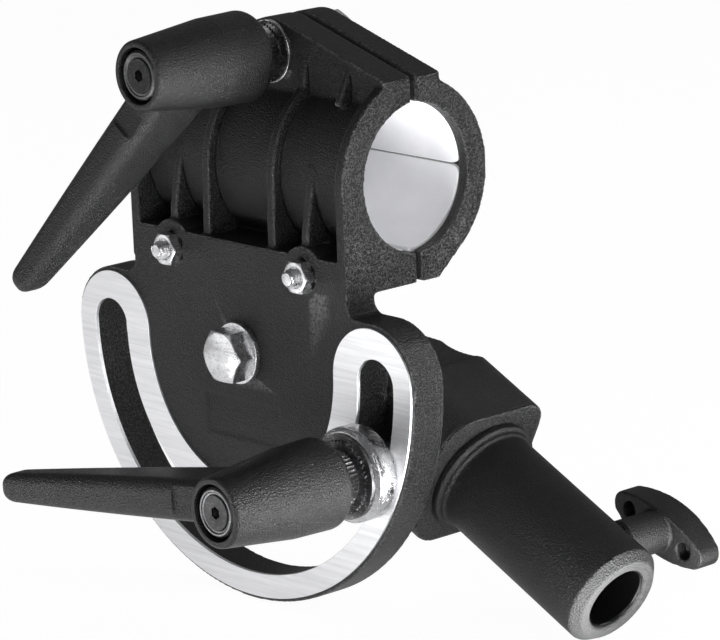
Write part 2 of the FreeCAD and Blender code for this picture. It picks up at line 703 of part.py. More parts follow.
def make_nut(label, flats, hole, height, placement):
    body = new_body(label, placement)
    sketch = new_sketch(body, "XY")
    add_outline(sketch, hexagon(flats))
    grow(body, sketch, height)
    cut_round(body, "XY", "0", "0", hole)
    return body


def group(label, members):
    """Identical fasteners in one node, as separate solids."""
    compound = document.addObject("Part::Compound", label)
    compound.Label = label
    compound.Links = members
    document.recompute()
    return compound


def make_jaw_screws():
    nodes = []
    nuts = []
    washers = []
    for name, side in (("left", -1), ("right", 1)):
        x = f"{side} * jaw_bolt_place"
        seat = "jaw_bolt_seat + jaw_washer_thick"
        nodes.append(make_hex_screw(
            f"jaw_bolt_{name}", "jaw_bolt_diameter", "jaw_bolt_length", "jaw_hex",
            "jaw_head_height", facing_front(x, seat, "-jaw_bolt_drop")))
        washers.append(make_ring(
            f"jaw_washer_{name}", "jaw_washer_radius", "jaw_bolt_diameter / 2 + hole_play / 2",
            "jaw_washer_thick", facing_front(x, seat, "-jaw_bolt_drop")))
        nuts.append(make_nut(
            f"jaw_nut_{name}", "jaw_hex", "jaw_bolt_diameter / 2 + thread_play",
            "jaw_nut_height",
            facing_front(x, f"-({CAST_FRONT} - jaw_nut_depth)", "-jaw_bolt_drop")))
    return nodes + [group("jaw_nuts", nuts), group("jaw_washers", washers)]


def make_pivot():
    thread = "pivot_diameter / 2 + thread_play"
    head_seat = f"-({CAST_FRONT} + pivot_washer_thick)"
    screw = make_hex_screw(
        "pivot_screw", "pivot_diameter", "pivot_length", "pivot_hex", "pivot_head_height",
        f"placement(vector(0; {head_seat}; -pivot_drop); rotationx(-90))")
    front = make_ring("pivot_washer_front", "pivot_washer_radius", thread, "pivot_washer_thick",
                      facing_front("0", f"-{CAST_FRONT}", "-pivot_drop"))
    arm_back = f"(arm_thick - {BRACKET_FRONT})"
    rear = make_ring("pivot_washer_rear", "pivot_washer_radius", thread, "pivot_washer_thick",
                     facing_front("0", f"{arm_back} + pivot_washer_thick", "-pivot_drop"))
    nut = make_nut("pivot_lock_nut", "pivot_hex", thread, "pivot_nut_height",
                   facing_front("0", f"{arm_back} + pivot_washer_thick + pivot_nut_height",
                                "-pivot_drop"))
    return [screw, front, rear, nut]


# ---------------------------------------------------------------- tilting bracket

def on_bracket(distance, setback, extra=""):
    """A place on the bracket, by its distance from the tilt axis along the spigot."""
    x = f"({distance}) * cos(tilt_rest * 1deg)"
    z = f"-pivot_drop - ({distance}) * sin(tilt_rest * 1deg)"
    return f"placement(vector({x}; {setback}; {z}); rotationy(tilt_rest){extra})"


def make_tilt_bracket():
    """Modelled level, with the tilt axis through its origin and the spigot along +X."""
    body = new_body("tilt_bracket", on_bracket("0", "0"))
    boss = new_sketch(body, "XZ", BRACKET_FRONT)
    meet = "sqrt(arm_boss ^ 2 - arm_half ^ 2)"
    add_outline(boss, [
        ("-arm_boss", "0", "arm_boss", 1),
        ("0", "-arm_boss", "arm_boss", 1),
        (meet, "-arm_half", "arm_boss", 1),
        ("block_start + 1", "-arm_half"),
        ("block_start + 1", "arm_half"),
        (meet, "arm_half"),
        ("0", "arm_boss", "arm_boss", 1),
    ])
    grow(body, boss, "arm_thick", reverse=True)

    front = f"-{BRACKET_FRONT}"
    block = new_sketch(body, "YZ", "block_start")
    add_outline(block, [
        ("block_back - block_round_back", "-block_half"),
        ("block_back", "-block_half + block_round_back", "block_round_back", 1),
        ("block_back", "block_half - block_round_back"),
        ("block_back - block_round_back", "block_half", "block_round_back", 1),
        (f"{front} + block_round_front", "block_half"),
        (front, "block_half - block_round_front", "block_round_front", 1),
        (front, "-block_half + block_round_front"),
        (f"{front} + block_round_front", "-block_half", "block_round_front", 1),
    ])
    grow(body, block, "block_end - block_start")

    arm_back = f"(arm_thick - {BRACKET_FRONT})"
    web = new_sketch(body, "XY")
    hollow = "block_start - web_radius"
    add_outline(web, [
        ("block_start + 1", "block_back"),
        ("block_start", "block_back"),
        (hollow, "block_back - web_radius", "web_radius", -1),
        (f"{hollow} - web_length", arm_back),
        (f"{hollow} - web_length", f"{arm_back} - 1"),
        ("block_start + 1", f"{arm_back} - 1"),
    ])
    grow(body, web, "2 * web_half", symmetric=True)
    for side, turning in (("", -1), ("-", 1)):
        corner = new_sketch(body, "YZ", "block_start + 1")
        add_outline(corner, [
            ("block_back - block_round_back", f"{side}(block_half)"),
            ("block_back", f"{side}(block_half - block_round_back)", "block_round_back", turning),
            ("block_back + 1", f"{side}(block_half - block_round_back)"),
            ("block_back + 1", f"{side}(block_half + 1)"),
            ("block_back - block_round_back", f"{side}(block_half + 1)"),
        ])
        cut(body, corner, "web_radius + web_length + 1")

    cut_round(body, "XZ", "0", "0", "pivot_diameter / 2 + hole_play")
    cut_round(body, "XZ", SLOT_MIDDLE, "0", "lower_stud_radius + thread_play",
              length="lower_stud_depth + thread_play",
              offset=BRACKET_FRONT, symmetric=False)
    cut_round(body, "YZ", "spigot_setback", "0", "tenon_radius", length="tenon_length",
              offset="block_end", symmetric=False)
    return body


def make_spigot():
    body = new_body("spigot", on_bracket("0", "spigot_setback"))
    step = "(block_end + collar_width)"
    start = f"({step} + neck_width)"
    profile = new_sketch(body, "XY")
    add_outline(profile, [
        ("block_end - tenon_length", "0"),
        ("spigot_end - socket_depth", "0"),
        ("spigot_end - socket_depth", "socket_radius"),
        ("spigot_end - socket_chamfer", "socket_radius"),
        ("spigot_end", "socket_radius + socket_chamfer"),
        ("spigot_end", "spigot_radius - spigot_chamfer"),
        ("spigot_end - spigot_chamfer", "spigot_radius"),
        (start, "spigot_radius"),
        (start, "neck_radius"),
        (step, "neck_radius"),
        (step, "collar_radius"),
        ("block_end", "collar_radius"),
        ("block_end", "tenon_radius"),
        ("block_end - tenon_length", "tenon_radius"),
    ])
    turn(body, profile, "H_Axis")
    cut_round(body, "XZ", "knob_screw_place", "0", "knob_screw_radius + thread_play",
              length="spigot_radius + 5", symmetric=False)
    return body


def make_wing_screw():
    placement = on_bracket("knob_screw_place", "spigot_setback", " * rotationx(-90)")
    body = new_body("wing_screw", placement)
    sketch = new_sketch(body, "XZ")
    add_outline(sketch, [
        ("0", "knob_tip"),
        ("knob_screw_radius - 1", "knob_tip"),
        ("knob_screw_radius", "knob_tip + 1"),
        ("knob_screw_radius", "knob_wing_start - 3"),
        ("0", "knob_wing_start - 3"),
    ])
    turn(body, sketch)
    return body


def make_wing_knob():
    turned = " * rotationx(-90) * rotationz(-knob_angle)"
    body = new_body("wing_knob", on_bracket("knob_screw_place", "spigot_setback", turned))
    half, width, tip = "knob_wing_half", "(knob_wing_width / 2)", "knob_wing_round"
    reach = f"({half} - {tip})"
    side = f"(({reach} ^ 2 + {width} ^ 2 - {tip} ^ 2) / (2 * ({width} - {tip})))"
    end_x = f"({side} * {reach} / ({side} - {tip}))"
    end_y = f"({tip} * ({side} - {width}) / ({side} - {tip}))"
    face = "(knob_wing_start + knob_wing_sweep)"
    top = "(knob_wing_start + knob_wing_crown)"
    plan = new_sketch(body, "XY", "knob_wing_start")
    add_outline(plan, [
        (end_x, f"-{end_y}", side, 1),
        (half, "0", tip, 1),
        (end_x, end_y, tip, 1),
        (f"-{end_x}", end_y, side, 1),
        (f"-{half}", "0", tip, 1),
        (f"-{end_x}", f"-{end_y}", tip, 1),
    ])
    grow(body, plan, "knob_wing_crown")

    crown = "(knob_wing_crown - knob_wing_sweep - knob_wing_tip)"
    crown_radius = f"(({half} ^ 2 + {crown} ^ 2) / (2 * {crown}))"
    above = new_sketch(body, "XZ")
    add_outline(above, [
        (f"-{half} - 5", f"{face} + knob_wing_tip"),
        (f"-{half}", f"{face} + knob_wing_tip"),
        ("0", top, crown_radius, -1),
        (half, f"{face} + knob_wing_tip", crown_radius, -1),
        (f"{half} + 5", f"{face} + knob_wing_tip"),
        (f"{half} + 5", f"{top} + 5"),
        (f"-{half} - 5", f"{top} + 5"),
    ])
    cut(body, above, FAR, symmetric=True)
    belly_radius = f"(({half} ^ 2 + knob_wing_sweep ^ 2) / (2 * knob_wing_sweep))"
    below = new_sketch(body, "XZ")
    add_outline(below, [
        (f"-{half} - 5", face),
        (f"-{half} - 5", "knob_wing_start - 5"),
        (f"{half} + 5", "knob_wing_start - 5"),
        (f"{half} + 5", face),
        (half, face),
        ("0", "knob_wing_start", belly_radius, -1),
        (f"-{half}", face, belly_radius, -1),
    ])
    cut(body, below, FAR, symmetric=True)
    stem = new_sketch(body, "XY", "knob_stem_start")
    add_circle(stem, "0", "0", "knob_stem_radius")
    grow(body, stem, "knob_wing_start - knob_stem_start + 2")
    cut_round(body, "XY", "0", "0", "knob_screw_radius + thread_play", length="knob_wing_start - 3",
              symmetric=False, reverse=True)
    for side in (-1, 1):
        cut_round(body, "XY", f"{side} * knob_pocket_place", "0", "knob_pocket_radius",
                  length=f"{face} + knob_pocket_depth", symmetric=False, reverse=True)
    return body


# ---------------------------------------------------------------- ratchet levers

def repeat_teeth(body, sketch, tooth):
    pattern = body.newObject("PartDesign::PolarPattern", body.Label + "_teeth")
    pattern.Originals = [tooth]
    pattern.Axis = (sketch, ["N_Axis"])
    pattern.Angle = 360
    pattern.setExpression("Occurrences", bind("tooth_count"))
    body.Tip = pattern
    document.recompute()


TOOTH_HALF = "(tooth_radius * sin(180deg / tooth_count) * 0.9)"


def make_insert(label, collar, stud_radius, placement):
    """Toothed steel insert, turned, with its teeth cut by one groove repeated round it."""
    body = new_body(label, placement)
    root = "(tooth_radius - tooth_depth)"
    sketch = new_sketch(body, "XZ")
    add_outline(sketch, [
        (stud_radius, "0"),
        (collar, "0"),
        (collar, "insert_collar_height"),
        (root, "insert_collar_height"),
        (root, "insert_collar_height + 0.5"),
        ("tooth_radius", "insert_collar_height + 0.5"),
        ("tooth_radius", "insert_height"),
        ("cap_shank_radius", "insert_height"),
        ("cap_shank_radius", "stud_in_insert"),
        (stud_radius, "stud_in_insert"),
    ])
    turn(body, sketch)
    groove = new_sketch(body, "XY", "insert_height")
    add_outline(groove, [
        ("tooth_radius + 0.2", TOOTH_HALF),
        (root, "0"),
        ("tooth_radius + 0.2", f"-{TOOTH_HALF}"),
    ])
    pocket = cut(body, groove, "insert_height - insert_collar_height - 0.5")
    repeat_teeth(body, groove, pocket)
    return body


def make_rod(label, radius, low, high, placement):
    body = new_body(label, placement)
    sketch = new_sketch(body, "XZ")
    add_outline(sketch, [
        ("0", low),
        (f"{radius} - 0.8", low),
        (radius, f"{low} + 0.8"),
        (radius, high),
        ("0", high),
    ])
    turn(body, sketch)
    return body


def make_cap_screw(label, placement):
    body = new_body(label, placement)
    top = f"({CAP_SEAT} + cap_head_height)"
    sketch = new_sketch(body, "XZ")
    add_outline(sketch, [
        ("0", "stud_in_insert"),
        ("cap_shank_radius", "stud_in_insert"),
        ("cap_shank_radius", CAP_SEAT),
        ("cap_head_radius", CAP_SEAT),
        ("cap_head_radius", f"{top} - 0.8"),
        ("cap_head_radius - 0.8", top),
        ("0", top),
    ])
    turn(body, sketch)
    key = new_sketch(body, "XY", top)
    add_outline(key, hexagon("cap_hex"))
    cut(body, key, "cap_head_height / 2")
    return body


def make_spring(label, placement):
    """Wire wound on a helix between the hub's web and the cap screw's head."""
    low = size("hub_web_end + spring_wire")
    height = size(CAP_SEAT) - size("spring_wire") - low
    radius = size("spring_radius")
    path = Part.makeHelix(height / size("spring_turns"), height, radius)
    wire_centre = FreeCAD.Vector(radius, 0, 0)
    circle = Part.makeCircle(size("spring_wire"), wire_centre, FreeCAD.Vector(0, 1, 0))
    wound = Part.Wire(path.Edges).makePipeShell([Part.Wire([circle])], True, True)
    spring = document.addObject("Part::Feature", label)
    spring.Label = label
    spring.Shape = wound
    seat = "placement(vector(0; 0; hub_web_end + spring_wire); rotationz(0))"
    spring.setExpression("Placement", bind(f"{placement} * {seat}"))
    document.recompute()
    return spring


def arm_section(body, distance, shrink="0"):
    """A rounded section of the lever arm at a distance from the hub's axis."""
    share = f"(({distance}) / arm_reach)"
    height = f"(arm_root_height + (arm_tip_height - arm_root_height) * {share})"
    depth = f"(arm_root_half + (arm_tip_half - arm_root_half) * {share} - {shrink})"
    belly = f"4 * arm_belly * {share} * (1 - {share})"
    width = f"(arm_root_width + (arm_tip_width - arm_root_width) * {share} + {belly} - {shrink})"
    round_off = f"({width} * 0.7)"
    sketch = new_sketch(body, "YZ", distance)
    low, high = f"{height} - {depth}", f"{height} + {depth}"
    add_outline(sketch, [
        (f"{width} - {round_off}", low),
        (width, f"{low} + {round_off}", round_off, 1),
        (width, f"{high} - {round_off}"),
        (f"{width} - {round_off}", high, round_off, 1),
        (f"-{width} + {round_off}", high),
        (f"-{width}", f"{high} - {round_off}", round_off, 1),
        (f"-{width}", f"{low} + {round_off}"),
        (f"-{width} + {round_off}", low, round_off, 1),
    ])
    return sketch


def add_loft(body, sections):
    loft = body.newObject("PartDesign::AdditiveLoft", body.Label + "_loft")
    loft.Profile = sections[0]
    loft.Sections = sections[1:]
    loft.Ruled = False
    document.recompute()


def make_handle(label, placement):
    """Lever hub on local Z with its arm along local X, over the toothed insert."""
    body = new_body(label, placement)
    foot = "hub_start"
    hub = new_sketch(body, "XZ")
    add_outline(hub, [
        ("0", foot),
        ("hub_base_radius - hub_edge", foot),
        ("hub_base_radius", f"{foot} + hub_edge", "hub_edge", 1),
        ("hub_base_radius - 0.3", "hub_shoulder"),
        ("hub_end_radius", "hub_end - 0.6"),
        ("hub_end_radius - 0.6", "hub_end"),
        ("0", "hub_end"),
    ])
    turn(body, hub)
    stations = [f"{share} * arm_reach" for share in (0.06, 0.5, 1)]
    add_loft(body, [arm_section(body, place) for place in stations])
    add_loft(body, [
        arm_section(body, "arm_reach"),
        arm_section(body, "arm_reach + 0.6 * arm_end", "0.17 * arm_end"),
        arm_section(body, "arm_reach + arm_end", "0.6 * arm_end"),
    ])

    bores = (("hub_bore", foot, "hub_web_start"),
             ("cap_shank_radius + hole_play", foot, "hub_end"),
             ("cap_bore", "hub_web_end", "hub_end"))
    for radius, low, high in bores:
        cut_round(body, "XY", "0", "0", radius, length=f"{high} - ({low}) + 0.01",
                  offset=f"{high} + 0.01", symmetric=False)
    tooth = new_sketch(body, "XY", "grip_tooth_start")
    narrow = f"({TOOTH_HALF} - 1.3 * grip_tooth_play)"
    add_outline(tooth, [
        ("hub_bore + 0.3", narrow),
        ("tooth_radius + 0.2", narrow),
        ("tooth_radius - tooth_depth + 1.6 * grip_tooth_play", "0"),
        ("tooth_radius + 0.2", f"-{narrow}"),
        ("hub_bore + 0.3", f"-{narrow}"),
    ])
    ridge = grow(body, tooth, "grip_tooth_length")
    repeat_teeth(body, tooth, ridge)
    return body


def make_lever(name, placement, collar, stud_radius, stud_low):
    return [
        make_rod(f"{name}_stud", stud_radius, stud_low, "stud_in_insert", placement),
        make_insert(f"{name}_insert", collar, stud_radius, placement),
        make_cap_screw(f"{name}_cap_screw", placement),
        make_spring(f"{name}_spring", placement),
        make_handle(f"{name}_lever", placement),
    ]


def make_upper_lever():
    place = f"vector(0; -{UPPER_FOOT}; upper_stud_rise)"
    placement = f"placement({place}; rotationy(90 + upper_lever_angle) * rotationx(90))"
    stud_end = "(rear_flange - upper_nut_depth + upper_nut_height + 1)"
    pieces = make_lever("upper", placement, "upper_collar", "upper_stud_radius",
                        f"-({UPPER_FOOT} + {stud_end})")
    washer = make_ring("upper_washer", "upper_washer_radius", "upper_stud_radius + hole_play / 2",
                       "upper_washer_thick",
                       facing_front("0", "-front_flange", "upper_stud_rise"))
    nut = make_nut("upper_stud_nut", "pivot_hex", "upper_stud_radius + thread_play",
                   "upper_nut_height",
                   facing_front("0", "rear_flange - upper_nut_depth + upper_nut_height",
                                "upper_stud_rise"))
    return pieces + [washer, nut]


def make_lower_lever():
    x = f"{SLOT_MIDDLE} * cos(tilt_rest * 1deg)"
    z = f"-pivot_drop - {SLOT_MIDDLE} * sin(tilt_rest * 1deg)"
    place = f"vector({x}; -{LOWER_FOOT}; {z})"
    placement = f"placement({place}; rotationy(90 + lower_lever_angle) * rotationx(90))"
    pieces = make_lever("lower", placement, "lower_collar", "lower_stud_radius",
                        f"-({LOWER_FOOT} - {BRACKET_FRONT} + lower_stud_depth)")
    spacer = make_ring("lower_spacer", "lower_spacer_radius", "lower_stud_radius + hole_play / 2",
                       "lower_spacer_thick", facing_front(x, "-plate_front", z), edge="0.8")
    return pieces + [spacer]


def build():
    nodes = [make_clamp_body(), make_rear_jaw()]
    for side_name, side in (("front", -1), ("rear", 1)):
        for level_name, level in (("upper", 1), ("lower", -1)):
            nodes.append(make_liner(f"{side_name}_liner_{level_name}", side, level))
    nodes += make_jaw_screws()
    nodes += make_pivot()
    nodes += [make_tilt_bracket(), make_spigot(), make_wing_screw(), make_wing_knob()]
    nodes += make_upper_lever()
    nodes += make_lower_lever()
    return nodes


def check(nodes):
    for thing in document.Objects:
        if "Invalid" in thing.State or "Error" in thing.State:
            raise ValueError(f"{thing.Label} failed: {thing.State}")
    for node in nodes:
        if node.Shape.isNull() or not node.Shape.isValid() or not node.Shape.Solids:
            raise ValueError(f"{node.Label} has no valid solid")


def export(nodes):
    os.makedirs("parts", exist_ok=True)
    for node in nodes:
        node.Shape.exportStep(f"parts/{node.Label}.step")
        box = node.Shape.BoundBox
        print(f"{node.Label:20s} {len(node.Shape.Solids)} solids {node.Shape.Volume:10.1f} mm3  "
              f"{box.XLength:6.1f} {box.YLength:6.1f} {box.ZLength:6.1f}")


document_nodes = build()
document.recompute()
check(document_nodes)
export(document_nodes)
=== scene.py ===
import math

import bmesh
import bpy
from mathutils import Matrix, Vector


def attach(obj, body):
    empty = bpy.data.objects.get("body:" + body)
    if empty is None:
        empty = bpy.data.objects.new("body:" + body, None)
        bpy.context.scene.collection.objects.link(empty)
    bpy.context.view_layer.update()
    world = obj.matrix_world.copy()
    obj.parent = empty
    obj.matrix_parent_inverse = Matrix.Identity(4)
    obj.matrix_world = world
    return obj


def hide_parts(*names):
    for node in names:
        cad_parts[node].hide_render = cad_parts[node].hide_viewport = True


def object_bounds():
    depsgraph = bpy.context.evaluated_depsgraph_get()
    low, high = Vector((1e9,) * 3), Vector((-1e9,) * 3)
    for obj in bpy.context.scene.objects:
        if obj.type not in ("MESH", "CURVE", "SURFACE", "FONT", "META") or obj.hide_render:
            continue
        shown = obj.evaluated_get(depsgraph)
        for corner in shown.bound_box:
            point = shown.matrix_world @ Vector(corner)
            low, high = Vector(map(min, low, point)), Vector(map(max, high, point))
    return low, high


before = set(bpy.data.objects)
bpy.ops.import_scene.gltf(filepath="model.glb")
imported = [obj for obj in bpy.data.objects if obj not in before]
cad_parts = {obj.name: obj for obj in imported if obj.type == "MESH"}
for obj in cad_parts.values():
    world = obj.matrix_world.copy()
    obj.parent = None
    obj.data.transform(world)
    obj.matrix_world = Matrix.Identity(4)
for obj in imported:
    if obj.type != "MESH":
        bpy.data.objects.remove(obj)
cad_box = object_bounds()

# Lengths are in millimetres unless a comment says otherwise, in the frame of the CAD model: the
# origin is the centre of the pipe bore, +X runs along the pipe and -Y is the lever side. Meshes
# are turned to metres last.
MM = 0.001
NOWHERE = Matrix.Identity(4)
HEXAGON_TURN = Matrix.Rotation(math.radians(30), 4, "Z")
MOST_TRIANGLES = 190000

PIVOT_Z = -47.1
TILT = math.radians(26.1)
PLATE_FACE = 25.3
RING_FACE = 25.9
RING_OUTER = 65.0
RING_INNER = 36.4
SLOT_OUTER = 58.65
SLOT_INNER = 45.55
SPIGOT_END = 117.6
SPIGOT_BACK = 3.6
TUBE_AXIS = (math.cos(TILT), 0.0, -math.sin(TILT))

UPPER_SCREW_Z = 29.5
FLANGE_FRONT = 10.2
FLANGE_REAR = 9.2

GRIP_RADIUS = 17.6
GRIP_ANGLE = math.radians(33)
ARC_SHIFT = 1.6
PAD_INNER = 19.2
PAD_OUTER = 20.3
PAD_EDGE = 1.2


# ---------------------------------------------------------------- node trees

def link(tree, source, target):
    tree.links.new(source, target)


def add_node(tree, kind, inputs=None, **settings):
    """A node with its settings and inputs. An input may be a number, a colour or a socket."""
    node = tree.nodes.new(kind)
    for name, value in settings.items():
        setattr(node, name, value)
    for name, value in (inputs or {}).items():
        socket = node.inputs[name]
        if isinstance(value, bpy.types.NodeSocket):
            link(tree, value, socket)
        else:
            socket.default_value = value
    return node


def maths(tree, operation, first, second=0.0, third=0.0):
    node = add_node(tree, "ShaderNodeMath", {0: first, 1: second, 2: third}, operation=operation)
    return node.outputs[0]


def blend_colours(tree, mask, dark, light):
    node = add_node(tree, "ShaderNodeMix", data_type="RGBA")
    for socket, value in ((node.inputs[0], mask), (node.inputs[6], dark), (node.inputs[7], light)):
        if isinstance(value, bpy.types.NodeSocket):
            link(tree, value, socket)
        else:
            socket.default_value = value
    return node.outputs[2]


def remap(tree, value, low, high, new_low=0.0, new_high=1.0):
    node = add_node(tree, "ShaderNodeMapRange", {
        "Value": value, "From Min": low, "From Max": high, "To Min": new_low, "To Max": new_high})
    return node.outputs[0]


def new_effect(name, inputs, outputs):
    """A shader node group with named number inputs, and number outputs."""
    group = bpy.data.node_groups.new(name, "ShaderNodeTree")
    for label, value in inputs.items():
        kind = "NodeSocketVector" if isinstance(value, tuple) else "NodeSocketFloat"
        socket = group.interface.new_socket(label, in_out="INPUT", socket_type=kind)
        socket.default_value = value
    for label in outputs:
        group.interface.new_socket(label, in_out="OUTPUT", socket_type="NodeSocketFloat")
    entry = group.nodes.new("NodeGroupInput")
    leave = group.nodes.new("NodeGroupOutput")
    return group, entry.outputs, leave.inputs


def object_noise(tree, scale, detail=2.0, roughness=0.5, vector=None, distortion=0.0):
    if vector is None:
        vector = tree.nodes.new("ShaderNodeTexCoord").outputs["Object"]
    return add_node(tree, "ShaderNodeTexNoise", {
        "Vector": vector, "Scale": scale, "Detail": detail, "Roughness": roughness,
        "Distortion": distortion}).outputs[0]


def build_grain():
    """Powder coat or moulded texture: a leathery grain with finer bumps on it."""
    group, given, out = new_effect(
        "coat_grain", {"Grain per Metre": 2000.0, "Fine Share": 0.3}, ["Height", "Speckle"])
    leather = object_noise(group, given["Grain per Metre"], 1.0, 0.5, distortion=0.15)
    fine = object_noise(group, maths(group, "MULTIPLY", given["Grain per Metre"], 2.6), 2.0, 0.6)
    coarse_share = maths(group, "SUBTRACT", 1.0, given["Fine Share"])
    height = maths(group, "MULTIPLY_ADD", fine, given["Fine Share"],
                   maths(group, "MULTIPLY", leather, coarse_share))
    link(group, height, out["Height"])
    link(group, remap(group, height, 0.44, 0.60), out["Speckle"])
    return group


def build_edge_wear_and_sheen():
    """Rubbed edges, and painted highlights on rounded edges, from how sharp the surface is, broken up
    by noise.
    """
    group, given, out = new_effect(
        "edge_wear_and_sheen", {"From": 0.53, "To": 0.60, "Break per Metre": 900.0, "Amount": 1.0}, ["Mask"])
    edge = group.nodes.new("ShaderNodeNewGeometry").outputs["Pointiness"]
    sharp = remap(group, edge, given["From"], given["To"])
    chips = remap(group, object_noise(group, given["Break per Metre"], 4.0, 0.65), 0.35, 0.62)
    worn_and_sheen = maths(group, "MULTIPLY", maths(group, "MULTIPLY", sharp, chips), given["Amount"])
    link(group, worn_and_sheen, out["Mask"])
    return group


def build_brush():
    """Lines left by a cutter or abrasive, long in one direction."""
    group, given, out = new_effect(
        "brush_lines",
        {"Stretch": (1.0, 1.0, 40.0), "Turn": (0.0, 0.0, 0.0), "Lines per Metre": 60.0},
        ["Height", "Streak"])
    place = group.nodes.new("ShaderNodeTexCoord").outputs["Object"]
    turned = add_node(group, "ShaderNodeMapping", {
        "Vector": place, "Rotation": given["Turn"], "Scale": given["Stretch"]})
    fine = object_noise(group, given["Lines per Metre"], 5.0, 0.7, turned.outputs[0])
    wide = object_noise(group, maths(group, "MULTIPLY", given["Lines per Metre"], 0.25), 2.0, 0.5,
                        turned.outputs[0])
    link(group, fine, out["Height"])
    link(group, maths(group, "MULTIPLY_ADD", wide, 0.5, maths(group, "MULTIPLY", fine, 0.5)),
         out["Streak"])
    return group


def build_scratches():
    """Thin random scratches and rub marks on bare metal."""
    group, given, out = new_effect(
        "scratches", {"Size per Metre": 160.0, "Width": 0.03}, ["Mask", "Smudge"])
    place = group.nodes.new("ShaderNodeTexCoord").outputs["Object"]
    total = None
    for turn, shift in (((0.4, 0.9, 0.2), 0.0), ((1.3, 0.3, 2.1), 3.7), ((2.2, 1.7, 0.8), 9.1)):
        turned = add_node(group, "ShaderNodeMapping", {
            "Vector": place, "Rotation": turn, "Location": (shift, 0.0, shift),
            "Scale": (0.12, 1.0, 1.0)})
        lines = object_noise(group, given["Size per Metre"], 1.0, 0.5, turned.outputs[0], 0.6)
        near = maths(group, "ABSOLUTE", maths(group, "SUBTRACT", lines, 0.5))
        mark = maths(group, "SUBTRACT", 1.0,
                     maths(group, "MINIMUM", maths(group, "DIVIDE", near, given["Width"]), 1.0))
        total = mark if total is None else maths(group, "MAXIMUM", total, mark)
    patch = remap(group, object_noise(group, maths(group, "MULTIPLY", given["Size per Metre"], 1.4),
                                      3.0, 0.6), 0.45, 0.65)
    link(group, maths(group, "MULTIPLY", total, patch), out["Mask"])
    link(group, object_noise(group, maths(group, "MULTIPLY", given["Size per Metre"], 0.9), 5.0, 0.6),
         out["Smudge"])
    return group


def build_mould_mark():
    """A faint round witness line on a face that looks along Y."""
    group, given, out = new_effect(
        "mould_mark", {"Across": 0.0, "Up": 0.0, "Radius": 0.003, "Line": 0.0003}, ["Height"])
    place = group.nodes.new("ShaderNodeTexCoord").outputs["Object"]
    parts = add_node(group, "ShaderNodeSeparateXYZ", {0: place}).outputs
    across = maths(group, "SUBTRACT", parts[0], given["Across"])
    up = maths(group, "SUBTRACT", parts[2], given["Up"])
    squared = maths(group, "ADD", maths(group, "MULTIPLY", across, across),
                    maths(group, "MULTIPLY", up, up))
    off = maths(group, "ABSOLUTE",
                maths(group, "SUBTRACT", maths(group, "SQRT", squared), given["Radius"]))
    line = maths(group, "SUBTRACT", 1.0,
                 maths(group, "MINIMUM", maths(group, "DIVIDE", off, given["Line"]), 1.0))
    front = maths(group, "LESS_THAN", parts[1], -0.009)
    link(group, maths(group, "MULTIPLY", line, front), out["Height"])
    return group


GRAIN = build_grain()
EDGE_WEAR_AND_SHEEN = build_edge_wear_and_sheen()
BRUSH = build_brush()
SCRATCHES = build_scratches()
MOULD_MARK = build_mould_mark()


# ---------------------------------------------------------------- finishes

def grey(value):
    return (value, value, value * 1.02, 1.0)


def new_finish(name, metallic=0.0, **constants):
    """A material, its tree and its Principled shader, with the constant values set on it."""
    finish = bpy.data.materials.new(name)
    finish.use_nodes = True
    tree = finish.node_tree
    shader = tree.nodes["Principled BSDF"]
    shader.inputs["Metallic"].default_value = metallic
    for label, value in constants.items():
        shader.inputs[label.replace("_", " ")].default_value = value
    return finish, tree, shader


def place_effect(tree, group, **values):
    node = tree.nodes.new("ShaderNodeGroup")
    node.node_tree = group
    for label, value in values.items():
        node.inputs[label.replace("_", " ")].default_value = value
    return node.outputs


def add_bump(tree, shader, height, distance):
    bump = add_node(tree, "ShaderNodeBump", {"Height": height, "Distance": distance})
    link(tree, bump.outputs[0], shader.inputs["Normal"])


def make_coat(name, dark, light, worn_and_sheen_tone, rough, grain, depth, wear_and_sheen, ends=0.0, marks=()):
    """Black coat over a casting or moulding, rubbed lighter along its edges, where the lighter colour
    is also a painted highlight. The grain is coarser by a share on faces that look along X, and its
    speckles are lighter there: painted light on those sides."""
    finish, tree, shader = new_finish(name)
    coat = place_effect(tree, GRAIN, Grain_per_Metre=grain)
    looks = add_node(tree, "ShaderNodeSeparateXYZ", {
        0: tree.nodes.new("ShaderNodeTexCoord").outputs["Normal"]}).outputs[0]
    # Faces that look along X get coarser bumps, which is grain, and lighter speckles, which are painted
    # light on those sides.
    end_grain_and_light = remap(tree, maths(tree, "ABSOLUTE", looks), 0.6, 0.95, 1.0, 1.0 + ends)
    rubbed_and_sheen = place_effect(tree, EDGE_WEAR_AND_SHEEN, **wear_and_sheen)["Mask"]
    tint = remap(tree, object_noise(tree, 60.0, 3.0), 0.3, 0.7, 0.35, 0.65)
    speckle = maths(tree, "MULTIPLY", maths(tree, "MULTIPLY", coat["Speckle"], tint),
                    maths(tree, "DIVIDE", end_grain_and_light, 1.0 + ends))
    speckled = blend_colours(tree, speckle, grey(dark), grey(dark + (light - dark) * (1.0 + ends)))
    # The lighter edge colour is partly wear and partly a painted highlight on rounded edges.
    colour = blend_colours(tree, rubbed_and_sheen, speckled, grey(worn_and_sheen_tone))
    link(tree, colour, shader.inputs["Base Color"])
    mottle = remap(tree, object_noise(tree, 300.0, 3.0), 0.3, 0.7, rough - 0.015, rough + 0.015)
    link(tree, maths(tree, "MULTIPLY_ADD", rubbed_and_sheen, -0.12, mottle), shader.inputs["Roughness"])
    height = maths(tree, "MULTIPLY", coat["Height"], end_grain_and_light)
    for across, up, radius in marks:
        mark = place_effect(tree, MOULD_MARK, Across=across * MM, Up=up * MM, Radius=radius * MM)
        height = maths(tree, "MULTIPLY_ADD", mark["Height"], -0.3, height)
    add_bump(tree, shader, height, depth)
    return finish


